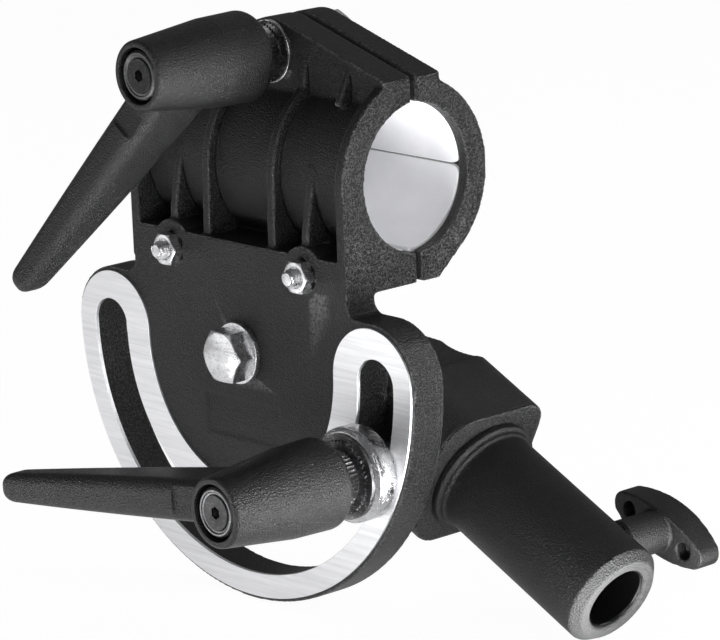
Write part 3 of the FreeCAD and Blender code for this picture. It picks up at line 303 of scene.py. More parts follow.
def make_brushed(name, tone, rough, turn, stretch, lines, depth):
    """Machined or brushed bare metal."""
    finish, tree, shader = new_finish(name, metallic=1.0)
    brush = place_effect(tree, BRUSH, Turn=turn, Stretch=stretch, Lines_per_Metre=lines)
    colour = blend_colours(tree, remap(tree, brush["Streak"], 0.35, 0.65),
                           grey(tone * 0.88), grey(tone * 1.06))
    link(tree, colour, shader.inputs["Base Color"])
    link(tree, remap(tree, brush["Streak"], 0.3, 0.7, rough + 0.08, rough - 0.04),
         shader.inputs["Roughness"])
    add_bump(tree, shader, brush["Height"], depth)
    return finish


def make_plated(name, tone, rough, scratch_size, scratch_tone, depth):
    """Plated or turned steel with fine scratches and smudges."""
    finish, tree, shader = new_finish(name, metallic=1.0)
    marks = place_effect(tree, SCRATCHES, Size_per_Metre=scratch_size)
    smudge = remap(tree, marks["Smudge"], 0.3, 0.7)
    body = blend_colours(tree, smudge, grey(tone * 0.82), grey(min(tone * 1.05, 0.95)))
    link(tree, blend_colours(tree, marks["Mask"], body, grey(scratch_tone)),
         shader.inputs["Base Color"])
    scuffed = remap(tree, marks["Smudge"], 0.3, 0.7, rough - 0.05, rough + 0.1)
    link(tree, maths(tree, "MULTIPLY_ADD", marks["Mask"], 0.15, scuffed), shader.inputs["Roughness"])
    height = maths(tree, "MULTIPLY_ADD", marks["Mask"], -0.6, marks["Smudge"])
    add_bump(tree, shader, height, depth)
    return finish


def make_liner_plastic():
    """Pale smooth plastic pads with a faint bloom."""
    finish, tree, shader = new_finish("pale_liner", Specular_IOR_Level=0.5)
    cloud = remap(tree, object_noise(tree, 90.0, 4.0), 0.3, 0.7)
    link(tree, blend_colours(tree, cloud, grey(0.78), grey(0.84)), shader.inputs["Base Color"])
    coat = place_effect(tree, GRAIN, Grain_per_Metre=2600.0)
    link(tree, remap(tree, coat["Speckle"], 0.0, 1.0, 0.42, 0.5), shader.inputs["Roughness"])
    add_bump(tree, shader, coat["Height"], 0.00006)
    return finish


def make_spigot_coat():
    """Satin black tube, rubbed lighter on the rim of its open end and on its edges, where the lighter
    edge colour is also a painted highlight, and smooth in its socket, where its near black colour is
    painted shade."""
    finish, tree, shader = new_finish("spigot_black", Specular_IOR_Level=0.32)
    coat = place_effect(tree, GRAIN, Grain_per_Metre=2200.0)
    place = tree.nodes.new("ShaderNodeTexCoord").outputs["Object"]
    along = add_node(tree, "ShaderNodeVectorMath", {0: place, 1: TUBE_AXIS},
                     operation="DOT_PRODUCT").outputs["Value"]
    rim = (SPIGOT_END - PIVOT_Z * math.sin(TILT)) * MM
    looks = tree.nodes.new("ShaderNodeTexCoord").outputs["Normal"]
    facing = add_node(tree, "ShaderNodeVectorMath", {0: looks, 1: TUBE_AXIS},
                      operation="DOT_PRODUCT").outputs["Value"]
    near_end = maths(tree, "MULTIPLY", remap(tree, along, rim - 0.0026, rim - 0.0018),
                     remap(tree, facing, 0.25, 0.5))
    chips = remap(tree, object_noise(tree, 1400.0, 3.0, 0.6), 0.42, 0.6, 0.1, 1.0)
    # The rubbed edges are partly wear and partly a painted highlight on rounded edges.
    rubbed_and_sheen = place_effect(tree, EDGE_WEAR_AND_SHEEN, From=0.53, To=0.6, Break_per_Metre=900.0, Amount=0.5)
    worn_and_sheen = maths(tree, "MAXIMUM", maths(tree, "MULTIPLY", near_end, chips), rubbed_and_sheen["Mask"])
    speckled = blend_colours(tree, maths(tree, "MULTIPLY", coat["Speckle"], 0.5),
                             grey(0.002), grey(0.02))
    from_axis = add_node(tree, "ShaderNodeVectorMath", {
        0: place, 1: (0.0, SPIGOT_BACK * MM, PIVOT_Z * MM)}, operation="SUBTRACT").outputs[0]
    across = add_node(tree, "ShaderNodeVectorMath", {0: from_axis, 1: TUBE_AXIS},
                      operation="CROSS_PRODUCT").outputs[0]
    radius = add_node(tree, "ShaderNodeVectorMath", {0: across}, operation="LENGTH").outputs["Value"]
    # Inside the socket the colour goes near black, which is painted shade in the bore. The surface
    # there is also smoother and has no grain.
    socket_shade_and_smooth = remap(tree, radius, 8.3 * MM, 8.8 * MM, 1.0, 0.0)
    toned = blend_colours(tree, worn_and_sheen, speckled, grey(0.016))
    link(tree, blend_colours(tree, socket_shade_and_smooth, toned, grey(0.0015)), shader.inputs["Base Color"])
    rough = remap(tree, worn_and_sheen, 0.0, 1.0, 0.40, 0.48)
    link(tree, remap(tree, socket_shade_and_smooth, 0.0, 1.0, rough, 0.2), shader.inputs["Roughness"])
    outside = maths(tree, "SUBTRACT", 1.0, socket_shade_and_smooth)
    add_bump(tree, shader, maths(tree, "MULTIPLY", coat["Height"], outside), 0.0005)
    return finish


CASTING = make_coat(
    "cast_black", 0.002, 0.036, 0.16, 0.42, 2200.0, 0.0007,
    {"From": 0.513, "To": 0.55, "Break per Metre": 1100.0, "Amount": 1.0},
    ends=4.5, marks=((23.6, 26.4, 2.3),))
LEVER_BLACK = make_coat(
    "lever_black", 0.002, 0.030, 0.05, 0.31, 2300.0, 0.0005,
    {"From": 0.52, "To": 0.60, "Break per Metre": 900.0, "Amount": 0.5})
KNOB_BLACK = make_coat(
    "knob_black", 0.002, 0.020, 0.06, 0.38, 2600.0, 0.0004,
    {"From": 0.53, "To": 0.60, "Break per Metre": 700.0, "Amount": 0.8})
MACHINED = make_brushed("machined_face", 0.92, 0.42, (0.0, math.radians(7.0), 0.0),
                        (0.03, 1.0, 1.0), 2600.0, 0.00003)
ZINC = make_plated("zinc_plate", 0.9, 0.24, 500.0, 0.5, 0.00004)
CHROME = make_plated("worn_chrome", 0.72, 0.20, 420.0, 0.25, 0.00012)
TOOTH_STEEL = make_plated("tooth_steel", 0.14, 0.38, 700.0, 0.5, 0.00006)
CAP_STEEL = make_plated("cap_steel", 0.13, 0.36, 900.0, 0.3, 0.00003)
CAP_DISC = make_plated("cap_disc", 0.045, 0.42, 900.0, 0.12, 0.00003)
SPRING_STEEL = make_plated("spring_steel", 0.4, 0.3, 900.0, 0.5, 0.00003)
LINER = make_liner_plastic()
SPIGOT_BLACK = make_spigot_coat()


# ---------------------------------------------------------------- mesh helpers

def new_thing(name, mesh):
    thing = bpy.data.objects.new(name, mesh)
    bpy.context.scene.collection.objects.link(thing)
    return thing


def baked(thing):
    """The plain mesh that an object's modifiers give; the object goes."""
    graph = bpy.context.evaluated_depsgraph_get()
    mesh = bpy.data.meshes.new_from_object(thing.evaluated_get(graph))
    bpy.data.objects.remove(thing)
    return mesh


def mesh_of(shape, name="shape"):
    mesh = bpy.data.meshes.new(name)
    shape.to_mesh(mesh)
    shape.free()
    return mesh


def joined(meshes):
    shape = bmesh.new()
    for mesh in meshes:
        shape.from_mesh(mesh)
    return mesh_of(shape)


def finish_piece(name, meshes, body, finish, nodes=(), place=NOWHERE, smooth_angle=40.0):
    """Joins meshes in millimetres into one finished piece that rides on a body."""
    mesh = joined(meshes) if len(meshes) > 1 else meshes[0]
    mesh.name = name
    mesh.transform(Matrix.Scale(MM, 4) @ place)
    mesh.materials.clear()
    mesh.materials.append(finish)
    mesh.polygons.foreach_set("material_index", [0] * len(mesh.polygons))
    mesh.polygons.foreach_set("use_smooth", [True] * len(mesh.polygons))
    mesh.set_sharp_from_angle(angle=math.radians(smooth_angle))
    piece = new_thing(name, mesh)
    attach(piece, body)
    if nodes:
        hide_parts(*nodes)
    return piece


def ring_points(shape, ring, segments):
    """The points of a ring round Z: (z, radius), or (z, radius, flats) for a hexagon that cuts
    into that radius."""
    points = []
    for step in range(segments):
        angle = 2 * math.pi * step / segments
        reach = ring[1]
        if len(ring) > 2:
            off = (angle + math.pi / 6) % (math.pi / 3) - math.pi / 6
            reach = min(reach, ring[2] / 2 / math.cos(off))
        points.append(shape.verts.new((reach * math.cos(angle), reach * math.sin(angle), ring[0])))
    return points


def bridge(shape, low, high):
    """Faces between two closed loops that have as many points as each other."""
    for step in range(len(low)):
        after = (step + 1) % len(low)
        shape.faces.new((low[step], low[after], high[after], high[step]))


def finished_shape(shape):
    bmesh.ops.recalc_face_normals(shape, faces=shape.faces)
    return mesh_of(shape)


def turned(rings, segments=96):
    """A solid turned round Z, closed over its first and last ring."""
    shape = bmesh.new()
    loops = [ring_points(shape, ring, segments) for ring in rings]
    for low, high in zip(loops, loops[1:]):
        bridge(shape, low, high)
    shape.faces.new(list(reversed(loops[0])))
    shape.faces.new(loops[-1])
    return finished_shape(shape)


def hollow_turned(rings, segments=96):
    """A solid with a hole, turned round Z, whose last ring joins its first."""
    shape = bmesh.new()
    loops = [ring_points(shape, ring, segments) for ring in rings]
    for low, high in zip(loops, loops[1:] + loops[:1]):
        bridge(shape, low, high)
    return finished_shape(shape)


def bevelled(mesh, width, segments=2):
    thing = new_thing("bevelling", mesh)
    bevel = thing.modifiers.new("edges", "BEVEL")
    bevel.width = width
    bevel.segments = segments
    bevel.limit_method = "ANGLE"
    bevel.angle_limit = math.radians(35)
    bevel.use_clamp_overlap = True
    return baked(thing)


def moved(mesh, place):
    mesh.transform(place)
    return mesh


def facing_front(x, y, z):
    """Local Z points to -Y."""
    return Matrix.Translation((x, y, z)) @ Matrix.Rotation(math.pi / 2, 4, "X")


def facing_rear(x, y, z):
    """Local Z points to +Y."""
    return Matrix.Translation((x, y, z)) @ Matrix.Rotation(-math.pi / 2, 4, "X")


def softened(node, voxel, passes, cutters=(), place=NOWHERE):
    """A copy of a casting or moulding with its edges and corners rounded off, and thinned if it
    has too many triangles. Cutters are meshes in the local frame that place gives."""
    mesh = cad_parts[node].data.copy()
    mesh.transform(Matrix.Scale(1 / MM, 4))
    shape = bmesh.new()
    shape.from_mesh(mesh)
    bmesh.ops.remove_doubles(shape, verts=shape.verts, dist=0.002)
    thing = new_thing("rounding", mesh_of(shape))
    helpers = []
    for cutter in cutters:
        helper = new_thing("cutter", moved(cutter, place))
        cut = thing.modifiers.new("cut", "BOOLEAN")
        cut.operation = "DIFFERENCE"
        cut.solver = "EXACT"
        cut.object = helper
        helpers.append(helper)
    voxels = thing.modifiers.new("voxels", "REMESH")
    voxels.mode = "VOXEL"
    voxels.voxel_size = voxel
    fillets = thing.modifiers.new("fillets", "SMOOTH")
    fillets.factor = 0.5
    fillets.iterations = passes
    mesh = baked(thing)
    for helper in helpers:
        bpy.data.objects.remove(helper)
    triangles = 2 * len(mesh.polygons)
    if triangles > MOST_TRIANGLES:
        thing = new_thing("thinning", mesh)
        thinner = thing.modifiers.new("thinner", "DECIMATE")
        thinner.ratio = MOST_TRIANGLES / triangles
        mesh = baked(thing)
    return mesh


# ---------------------------------------------------------------- threads and teeth

def new_shape_tree(name, inputs):
    tree = bpy.data.node_groups.new(name, "GeometryNodeTree")
    kinds = {int: "NodeSocketInt", float: "NodeSocketFloat"}
    for label, value in inputs.items():
        socket = tree.interface.new_socket(label, in_out="INPUT", socket_type=kinds[type(value)])
        socket.default_value = value
    tree.interface.new_socket("Finish", in_out="INPUT", socket_type="NodeSocketMaterial")
    tree.interface.new_socket("Geometry", in_out="OUTPUT", socket_type="NodeSocketGeometry")
    entry = tree.nodes.new("NodeGroupInput").outputs
    leave = tree.nodes.new("NodeGroupOutput").inputs
    return tree, entry, leave


def end_shape_tree(tree, geometry, entry, leave):
    real = add_node(tree, "GeometryNodeRealizeInstances", {"Geometry": geometry}).outputs[0]
    painted = add_node(tree, "GeometryNodeSetMaterial", {
        "Geometry": real, "Material": entry["Finish"]}).outputs[0]
    link(tree, painted, leave["Geometry"])


def build_thread_tree():
    """A pointed ridge wound round Z, upwards from the origin."""
    tree, given, leave = new_shape_tree(
        "screw_thread", {"Core Radius": 2.1, "Pitch": 0.8, "Turns": 4.0, "Depth": 0.4})
    height = maths(tree, "MULTIPLY", given["Pitch"], given["Turns"])
    spiral = add_node(tree, "GeometryNodeCurveSpiral", {
        "Resolution": 40, "Rotations": given["Turns"], "Start Radius": given["Core Radius"],
        "End Radius": given["Core Radius"], "Height": height}).outputs[0]
    upright = add_node(tree, "GeometryNodeSetCurveNormal", {"Curve": spiral}, mode="Z_UP").outputs[0]
    ridge = add_node(tree, "GeometryNodeCurvePrimitiveCircle", {
        "Resolution": 4, "Radius": given["Depth"]}).outputs[0]
    wound = add_node(tree, "GeometryNodeCurveToMesh", {
        "Curve": upright, "Profile Curve": ridge, "Fill Caps": True}).outputs[0]
    end_shape_tree(tree, wound, given, leave)
    return tree


def build_spline_tree():
    """A ring of pointed teeth round Z: a toothed outline, filled and raised."""
    tree, given, leave = new_shape_tree(
        "spline_teeth", {"Teeth": 44, "Root Radius": 7.0, "Tip Radius": 7.6, "Length": 2.0})
    star = add_node(tree, "GeometryNodeCurveStar", {
        "Points": given["Teeth"], "Inner Radius": given["Root Radius"],
        "Outer Radius": given["Tip Radius"]}).outputs[0]
    face = add_node(tree, "GeometryNodeFillCurve", {"Curve": star}, mode="NGONS").outputs[0]
    raised = add_node(tree, "GeometryNodeExtrudeMesh", {
        "Mesh": face, "Offset Scale": given["Length"]}, mode="FACES").outputs[0]
    foot = add_node(tree, "GeometryNodeFlipFaces", {"Mesh": face}).outputs[0]
    both = tree.nodes.new("GeometryNodeJoinGeometry")
    link(tree, raised, both.inputs[0])
    link(tree, foot, both.inputs[0])
    merged = add_node(tree, "GeometryNodeMergeByDistance", {
        "Geometry": both.outputs[0], "Distance": 0.001}).outputs[0]
    end_shape_tree(tree, merged, given, leave)
    return tree


def grown(tree, finish, **values):
    """The mesh that a geometry tree gives with these inputs."""
    seed = bpy.data.meshes.new("seed")
    seed.from_pydata([(0, 0, 0)], [], [])
    thing = new_thing("growing", seed)
    modifier = thing.modifiers.new("tree", "NODES")
    modifier.node_group = tree
    values = {label.replace("_", " "): value for label, value in values.items()}
    values["Finish"] = finish
    for item in tree.interface.items_tree:
        if item.in_out == "INPUT" and item.name in values:
            modifier[item.identifier] = values[item.name]
    return baked(thing)


THREAD = build_thread_tree()
SPLINES = build_spline_tree()


def threaded_end(low, high, radius, pitch, finish):
    """The threaded end of a screw along Z from low to high, pointed at the high end."""
    depth = 0.61 * pitch
    core = radius - depth
    turns = (high - low - 0.9 * pitch) / pitch
    wound = moved(grown(THREAD, finish, Core_Radius=core, Pitch=pitch, Turns=turns, Depth=depth),
                  Matrix.Translation((0, 0, low + 0.1)))
    rod = turned([(low - 0.5, core), (high - depth, core), (high, core - 0.8 * depth)], 64)
    return [wound, bevelled(rod, 0.08)]


# ---------------------------------------------------------------- castings and machined face

def arc_points(centre_x, centre_z, radius, start, end, steps):
    """Points of an arc, without its last one; angles in degrees from +X towards +Z."""
    points = []
    for step in range(steps):
        angle = math.radians(start + (end - start) * step / steps)
        points.append((centre_x + radius * math.cos(angle), centre_z + radius * math.sin(angle)))
    return points


def horseshoe(outer, inner):
    """The outline of a half ring round the tilt axis, open upwards, with round ends."""
    middle, cap = (outer + inner) / 2, (outer - inner) / 2
    return (arc_points(0, PIVOT_Z, outer, 180, 360, 180)
            + arc_points(middle, PIVOT_Z, cap, 0, 180, 48)
            + arc_points(0, PIVOT_Z, inner, 360, 180, 180)
            + arc_points(-middle, PIVOT_Z, cap, 0, 180, 48))


def make_slot_face():
    """The machined ring round the arc slot, from closed loops laid side by side."""
    edge, depth = 0.12, 0.9
    loops = []
    for inset, behind in ((0.0, depth), (0.0, edge), (edge * 0.35, edge * 0.3), (edge, 0.0)):
        loops.append((horseshoe(RING_OUTER - inset, RING_INNER + inset), behind))
    for outset, behind in ((edge, 0.0), (edge * 0.35, edge * 0.3), (0.0, edge), (0.0, depth)):
        loops.append((horseshoe(SLOT_OUTER + outset, SLOT_INNER - outset), behind))
    shape = bmesh.new()
    rows = [[shape.verts.new((x, -RING_FACE + behind, z)) for x, z in points]
            for points, behind in loops]
    for low, high in zip(rows, rows[1:] + rows[:1]):
        bridge(shape, low, high)
    finish_piece("slot_face", [finished_shape(shape)], "clamp", MACHINED, smooth_angle=18)


def make_castings():
    # Takes off what stands proud of the plate below its nuts, where slot_face takes its place.
    proud_ring = box_mesh((-80, -30, -120), (80, -PLATE_FACE - 0.08, -31.5))
    finish_piece("front_casting", [softened("clamp_body", 0.42, 7, cutters=[proud_ring])], "clamp",
                 CASTING, ["clamp_body"])
    finish_piece("rear_casting", [softened("rear_jaw", 0.42, 7)], "rear_jaw_group",
                 CASTING, ["rear_jaw"])
    finish_piece("bracket_casting", [softened("tilt_bracket", 0.4, 14)], "bracket_group",
                 CASTING, ["tilt_bracket"])
    finish_piece("spigot_tube", [softened("spigot", 0.32, 4)], "bracket_group",
                 SPIGOT_BLACK, ["spigot"])
    finish_piece("wing_grip", [softened("wing_knob", 0.3, 8)], "knob", KNOB_BLACK,
                 ["wing_knob"])


def pad_reach(angle, outside):
    """How far a pad's skin lies from the bore's axis, at an angle from the middle of its jaw."""
    if outside:
        return -ARC_SHIFT * math.cos(angle) + math.sqrt(
            PAD_OUTER ** 2 - (ARC_SHIFT * math.sin(angle)) ** 2)
    if angle <= GRIP_ANGLE:
        return GRIP_RADIUS
    depth, height = PAD_EDGE, math.sqrt(PAD_INNER ** 2 - (ARC_SHIFT + PAD_EDGE) ** 2)
    along = depth * math.cos(GRIP_ANGLE) + height * math.sin(GRIP_ANGLE)
    back = (depth ** 2 + height ** 2 - GRIP_RADIUS ** 2) / (2 * GRIP_RADIUS - 2 * along)
    off = angle - GRIP_ANGLE
    return -back * math.cos(off) + math.sqrt(
        (GRIP_RADIUS + back) ** 2 - (back * math.sin(off)) ** 2)


def pad_skin(shape, radius, outside, side, level):
    """Rows of points over one skin of a pad, closer together near its ends and its bend."""
    half, corner, seam, columns = 38.4, 2.4, 0.2, 21
    stations = (0, .004, .012, .024, .04, .06, .085, .12, .2, .28, .345, .37, .38, .39, .42, .5, .6,
                .7, .8, .88, .915, .94, .96, .976, .988, .996, 1)
    length = math.radians(86) * PAD_INNER
    first = math.asin(seam / radius)
    last = math.atan2(math.sqrt(radius ** 2 - (ARC_SHIFT + PAD_EDGE) ** 2), PAD_EDGE)
    rows = []
    for share in stations:
        near = min(share, 1 - share) * length
        dip = corner - math.sqrt(max(corner ** 2 - max(corner - near, 0) ** 2, 0))
        angle = first + share * (last - first)
        reach = pad_reach(angle, outside)
        y = side * reach * math.cos(angle)
        z = level * reach * math.sin(angle)
        rows.append([shape.verts.new(((half - dip) * (2 * column / (columns - 1) - 1), y, z))
                     for column in range(columns)])
    return rows


def make_pad(side, level):
    """A curved pad: an inner and an outer skin, and the border that joins them."""
    shape = bmesh.new()
    borders = []
    for radius, outside in ((PAD_INNER, False), (PAD_OUTER, True)):
        rows = pad_skin(shape, radius, outside, side, level)
        for low, high in zip(rows, rows[1:]):
            for column in range(len(low) - 1):
                shape.faces.new((low[column], low[column + 1], high[column + 1], high[column]))
        borders.append(rows[0][:-1] + [row[-1] for row in rows[:-1]]
                       + rows[-1][:0:-1] + [row[0] for row in rows[:0:-1]])
    bridge(shape, *borders)
    return bevelled(finished_shape(shape), 0.2)


def make_liners():
    """Four pads with rounded corners, round to the pipe in the middle of each jaw."""
    for side_name, side, body in (("front", -1, "clamp"), ("rear", 1, "rear_jaw_group")):
        for level_name, level in (("upper", 1), ("lower", -1)):
            finish_piece(f"{side_name}_{level_name}_pad", [make_pad(side, level)], body,
                         LINER, [f"{side_name}_liner_{level_name}"])


# ---------------------------------------------------------------- screws, nuts and washers

def turned_chamfer(flats, level, inwards):
    """Rings of the round chamfer that a turned bar end leaves on a hexagon."""
    corner = flats / math.sqrt(3)
    start = flats / 2 * 0.96
    steps = 7
    rings = []
    for step in range(steps + 1):
        radius = start + (corner - start) * (step / steps)
        rings.append((level - inwards * 0.55 * (radius - start), radius, flats))
    return rings


def hexagon_head(flats, high):
    """A hexagon from the origin up along Z, chamfered at its top."""
    foot = [(0.0, flats / math.sqrt(3), flats)]
    return turned(foot + turned_chamfer(flats, high, 1)[::-1], 120)


def hexagon_nut(flats, high, hole):
    """A hexagon nut from the origin up along Z, chamfered at both ends, and its hole at the top."""
    lead = 0.35
    rings = [(0.0, hole)] + turned_chamfer(flats, 0.0, -1) + turned_chamfer(flats, high, 1)[::-1]
    rings += [(high, hole + lead), (high - lead, hole), (lead, hole)]
    return hollow_turned(rings, 120)


def washer(outer, inner, low, high):
    return bevelled(hollow_turned([(low, inner), (low, outer), (high, outer), (high, inner)]), 0.2, 3)


def make_jaw_screws():
    place_x = 25.8
    drop = -23.1
    radius = 2.5
    flats = 8.0
    thread_start = 30.0
    nut_seat = -(PLATE_FACE - 1.8)
    nuts = []
    washers = []
    for name, side in (("left", -1), ("right", 1)):
        along = facing_front(side * place_x, FLANGE_REAR, drop)
        head = moved(hexagon_head(flats, 3.5), Matrix.Rotation(math.pi, 4, "X"))
        shank = turned([(-0.4, radius), (thread_start, radius), (thread_start + 0.4, radius - 0.3)], 64)
        parts = [head, shank] + threaded_end(thread_start, 40.0, radius, 0.8, ZINC)
        finish_piece(f"{name}_jaw_screw", parts, f"{name}_jaw_screw", ZINC,
                     [f"jaw_bolt_{name}"], along, 30)
        nut = hexagon_nut(flats, 4.7, radius - 0.05)
        nuts.append(moved(nut, facing_front(side * place_x, nut_seat, drop) @ HEXAGON_TURN))
        washers.append(moved(washer(5.0, radius + 0.15, 0.0, 1.0), along))
    finish_piece("jaw_screw_nuts", nuts, "clamp", ZINC, ["jaw_nuts"], smooth_angle=30)
    finish_piece("jaw_screw_washers", washers, "rear_jaw_group", ZINC,
                 ["jaw_washers"])


def make_pivot():
    radius = 4.0
    flats = 13.0
    washer_thick = 1.6
    arm_front = -(PLATE_FACE - 10.0 - 0.3)
    arm_back = arm_front + 12.0
    seat = -(PLATE_FACE + washer_thick)
    head = moved(hexagon_head(flats, 5.3), HEXAGON_TURN)
    shank = turned([(-24.0, radius - 0.3), (-23.6, radius), (0.2, radius)], 64)
    parts = [moved(mesh, facing_front(0, seat, PIVOT_Z)) for mesh in (head, shank)]
    parts += [moved(mesh, facing_rear(0, seat, PIVOT_Z))
              for mesh in threaded_end(24.0, 35.0, radius, 1.25, ZINC)]
    finish_piece("pivot_hex_screw", parts, "clamp", ZINC, ["pivot_screw"],
                 smooth_angle=30)
    for side, place in (("front", facing_front(0, -PLATE_FACE, PIVOT_Z)),
                        ("rear", facing_rear(0, arm_back, PIVOT_Z))):
        finish_piece(f"pivot_{side}_washer", [washer(8.1, radius + 0.15, 0.0, washer_thick)], "clamp",
                     ZINC, [f"pivot_washer_{side}"], place)
    hole = radius + 0.05
    collar = hollow_turned([(6.2, hole), (6.2, 5.9), (7.4, 5.75), (8.0, 5.1), (8.0, hole)])
    finish_piece("pivot_nut", [hexagon_nut(flats, 6.4, hole), bevelled(collar, 0.15)], "clamp",
                 ZINC, ["pivot_lock_nut"],
                 facing_rear(0, arm_back + washer_thick, PIVOT_Z), 30)


# ---------------------------------------------------------------- ratchet levers

UPPER_WASHER = 1.3
TILT_SPACER = 6.3
TEETH = 44
# Collar of each insert: radius, thickness, edge, and root, tip and length of its short teeth.
UPPER_COLLAR = (7.9, 0.3, 0.1, 7.2, 7.85, 1.5)
LOWER_COLLAR = (11.0, 1.0, 0.15, 8.9, 9.5, 0.75)


def lever_frame(x, y, z, angle):
    """Local Z runs out along the hub, and local X along the arm."""
    spin = math.radians(90 + angle)
    return (Matrix.Translation((x, y, z)) @ Matrix.Rotation(spin, 4, "Y")
            @ Matrix.Rotation(math.pi / 2, 4, "X"))


def box_mesh(low, high, place=NOWHERE):
    shape = bmesh.new()
    bmesh.ops.create_cube(shape, size=1.0)
    centre = (Vector(low) + Vector(high)) / 2
    spread = Vector(high) - Vector(low)
    shape.transform(place @ Matrix.Translation(centre) @ Matrix.Diagonal(spread.to_4d()))
    return mesh_of(shape)


def toothed_insert(collar):
    """Steel insert: a collar, short teeth on the collar, and long ones up into the hub."""
    radius, thick, edge, root, tip, length = collar
    core = 7.0
    foot = turned([(0.0, radius), (thick, radius), (thick, core), (2.4, core)])
    short_teeth = grown(SPLINES, TOOTH_STEEL, Length=length, Teeth=TEETH, Root_Radius=root,
                        Tip_Radius=tip)
    long_teeth = grown(SPLINES, TOOTH_STEEL, Length=13.7, Teeth=TEETH, Root_Radius=core,
                       Tip_Radius=7.6)
    return [bevelled(foot, edge), moved(short_teeth, Matrix.Translation((0, 0, thick - 0.05))),
            moved(long_teeth, Matrix.Translation((0, 0, 2.3)))]


def make_lever(name, place, collar):
    """A lever's moulding, its cap screw with the disc in it, and its insert."""
    group = f"{name}_stud_group"
    bore = turned([(2.0, 8.05), (20.6, 8.05)], 96)
    slope = Matrix.Translation((15.4, 0, 39.9)) @ Matrix.Rotation(math.radians(-14.9), 4, "Y")
    pad = box_mesh((-3.4, -4.4, -0.55), (3.4, 4.4, 3.0), slope)
    moulding = softened(f"{name}_lever", 0.28, 5, cutters=[bore, pad], place=place)
    finish_piece(f"{name}_handle", [moulding], f"{name}_handle", LEVER_BLACK,
                 [f"{name}_lever"])
    top = 42.7
    cap = turned([
        (10.0, 2.4), (39.7, 2.4), (39.7, 6.4), (top - 0.7, 6.4), (top, 5.8), (top, 5.3),
        (top - 0.35, 5.1), (top - 0.35, 4.6), (top - 0.7, 4.6), (top - 0.7, 2.0),
        (top - 2.2, 2.0), (top - 2.2, 0.02)], 120)
    finish_piece(f"{name}_cap", [bevelled(cap, 0.08)], group, CAP_STEEL,
                 [f"{name}_cap_screw"], place, 30)
    disc = hollow_turned([
        (top - 0.66, 1.6, 2.8), (top - 0.66, 4.55), (top - 0.2, 4.55), (top, 4.35), (top, 1.9),
        (top - 0.1, 1.6, 2.8)], 120)
    finish_piece(f"{name}_cap_disc", [disc], group, CAP_DISC, (), place, 30)
    finish_piece(f"{name}_splines", toothed_insert(collar), group, TOOTH_STEEL,
                 [f"{name}_insert"], place, 20)


def make_upper_washer():
    finish_piece("upper_thrust_washer", [washer(8.2, 4.15, 0.0, UPPER_WASHER)], "clamp",
                 CHROME, ["upper_washer"],
                 facing_front(0, -FLANGE_FRONT, UPPER_SCREW_Z))


def make_tilt_spacer(x, z):
    """The grooved ring that slides on the machined face under the lower lever."""
    rings = [(0.0, 6.15), (0.0, 11.9), (0.4, 12.3), (4.5, 12.3), (4.7, 11.8), (5.0, 11.8),
             (5.2, 12.25), (5.5, 12.25), (TILT_SPACER, 11.2), (TILT_SPACER, 6.15)]
    finish_piece("tilt_spacer", [bevelled(hollow_turned(rings, 128), 0.08)], "bracket_group",
                 CHROME, ["lower_spacer"], facing_front(x, -RING_FACE, z), 30)


def make_upper_stud(foot):
    """The stud that closes the jaws, from the lever's foot at this Y, and its captive nut."""
    radius = 4.0
    nut_height = 6.5
    nut_seat = FLANGE_REAR - 2.0
    finish_piece("upper_nut", [hexagon_nut(13.0, nut_height, radius + 0.05)], "rear_jaw_group",
                 ZINC, ["upper_stud_nut"],
                 facing_rear(0, nut_seat, UPPER_SCREW_Z), 30)
    stud_end = nut_seat + nut_height + 1.0 - foot
    stud = [turned([(-10.0, radius), (13.5, radius)], 64)]
    stud += threaded_end(13.0, stud_end, radius, 1.25, ZINC)
    finish_piece("upper_threaded_stud", stud, "upper_stud_group", ZINC,
                 ["upper_stud"], facing_rear(0, foot, UPPER_SCREW_Z), 30)


def make_levers():
    foot = -(FLANGE_FRONT + UPPER_WASHER)
    middle = (SLOT_OUTER + SLOT_INNER) / 2
    x = middle * math.cos(TILT)
    z = PIVOT_Z - middle * math.sin(TILT)
    make_lever("upper", lever_frame(0, foot, UPPER_SCREW_Z, 35.4), UPPER_COLLAR)
    make_lever("lower", lever_frame(x, -RING_FACE - TILT_SPACER, z, 86.4), LOWER_COLLAR)
    make_upper_washer()
    make_tilt_spacer(x, z)
    make_upper_stud(foot)


def paint_hidden_parts():
    """Pieces whose CAD shape is right keep it and take a finish."""
    for node, finish in (("lower_stud", ZINC), ("wing_screw", ZINC), ("upper_spring", SPRING_STEEL),
                         ("lower_spring", SPRING_STEEL)):
        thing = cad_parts[node]
        for slot in thing.material_slots:
            slot.material = finish


# ---------------------------------------------------------------- studio

# The floor glows softly, but looks evenly pale to the camera. It has an even glow and brighter
# spots, each with its place, full radius and faded radius in metres, and its glow.
FLOOR_GLOW = 0.3
FLOOR_SPOTS = (
    (0.168, -0.012, 0.020, 0.075, 32.0),
    (0.240, 0.000, 0.030, 0.095, 23.0),
    (0.020, -0.040, 0.030, 0.100, 0.4),
    (-0.010, -0.210, 0.030, 0.110, 7.0),
    (-0.200, -0.190, 0.100, 0.250, 0.5),
    (0.370, 0.250, 0.080, 0.250, 4.5),
)
FLOOR_SEEN = 0.95
ROOM_GLOW = 0.14
# Name, azimuth and elevation in degrees, distance, width and height in metres, and watts.
LAMPS = (
    ("front_box", -38, 8, 0.9, 0.7, 0.5, 1.1),
    ("right_box", 133, 12, 0.9, 0.5, 0.5, 2.9),
    ("key_box", 62, 14, 0.9, 0.5, 0.5, 2.0),
    ("back_box", -150, 40, 0.9, 0.6, 0.6, 0.15),
)


CAMERA_AZIMUTH = 48.279
CAMERA_ELEVATION = 13.716
CAMERA_ROLL = -2.242
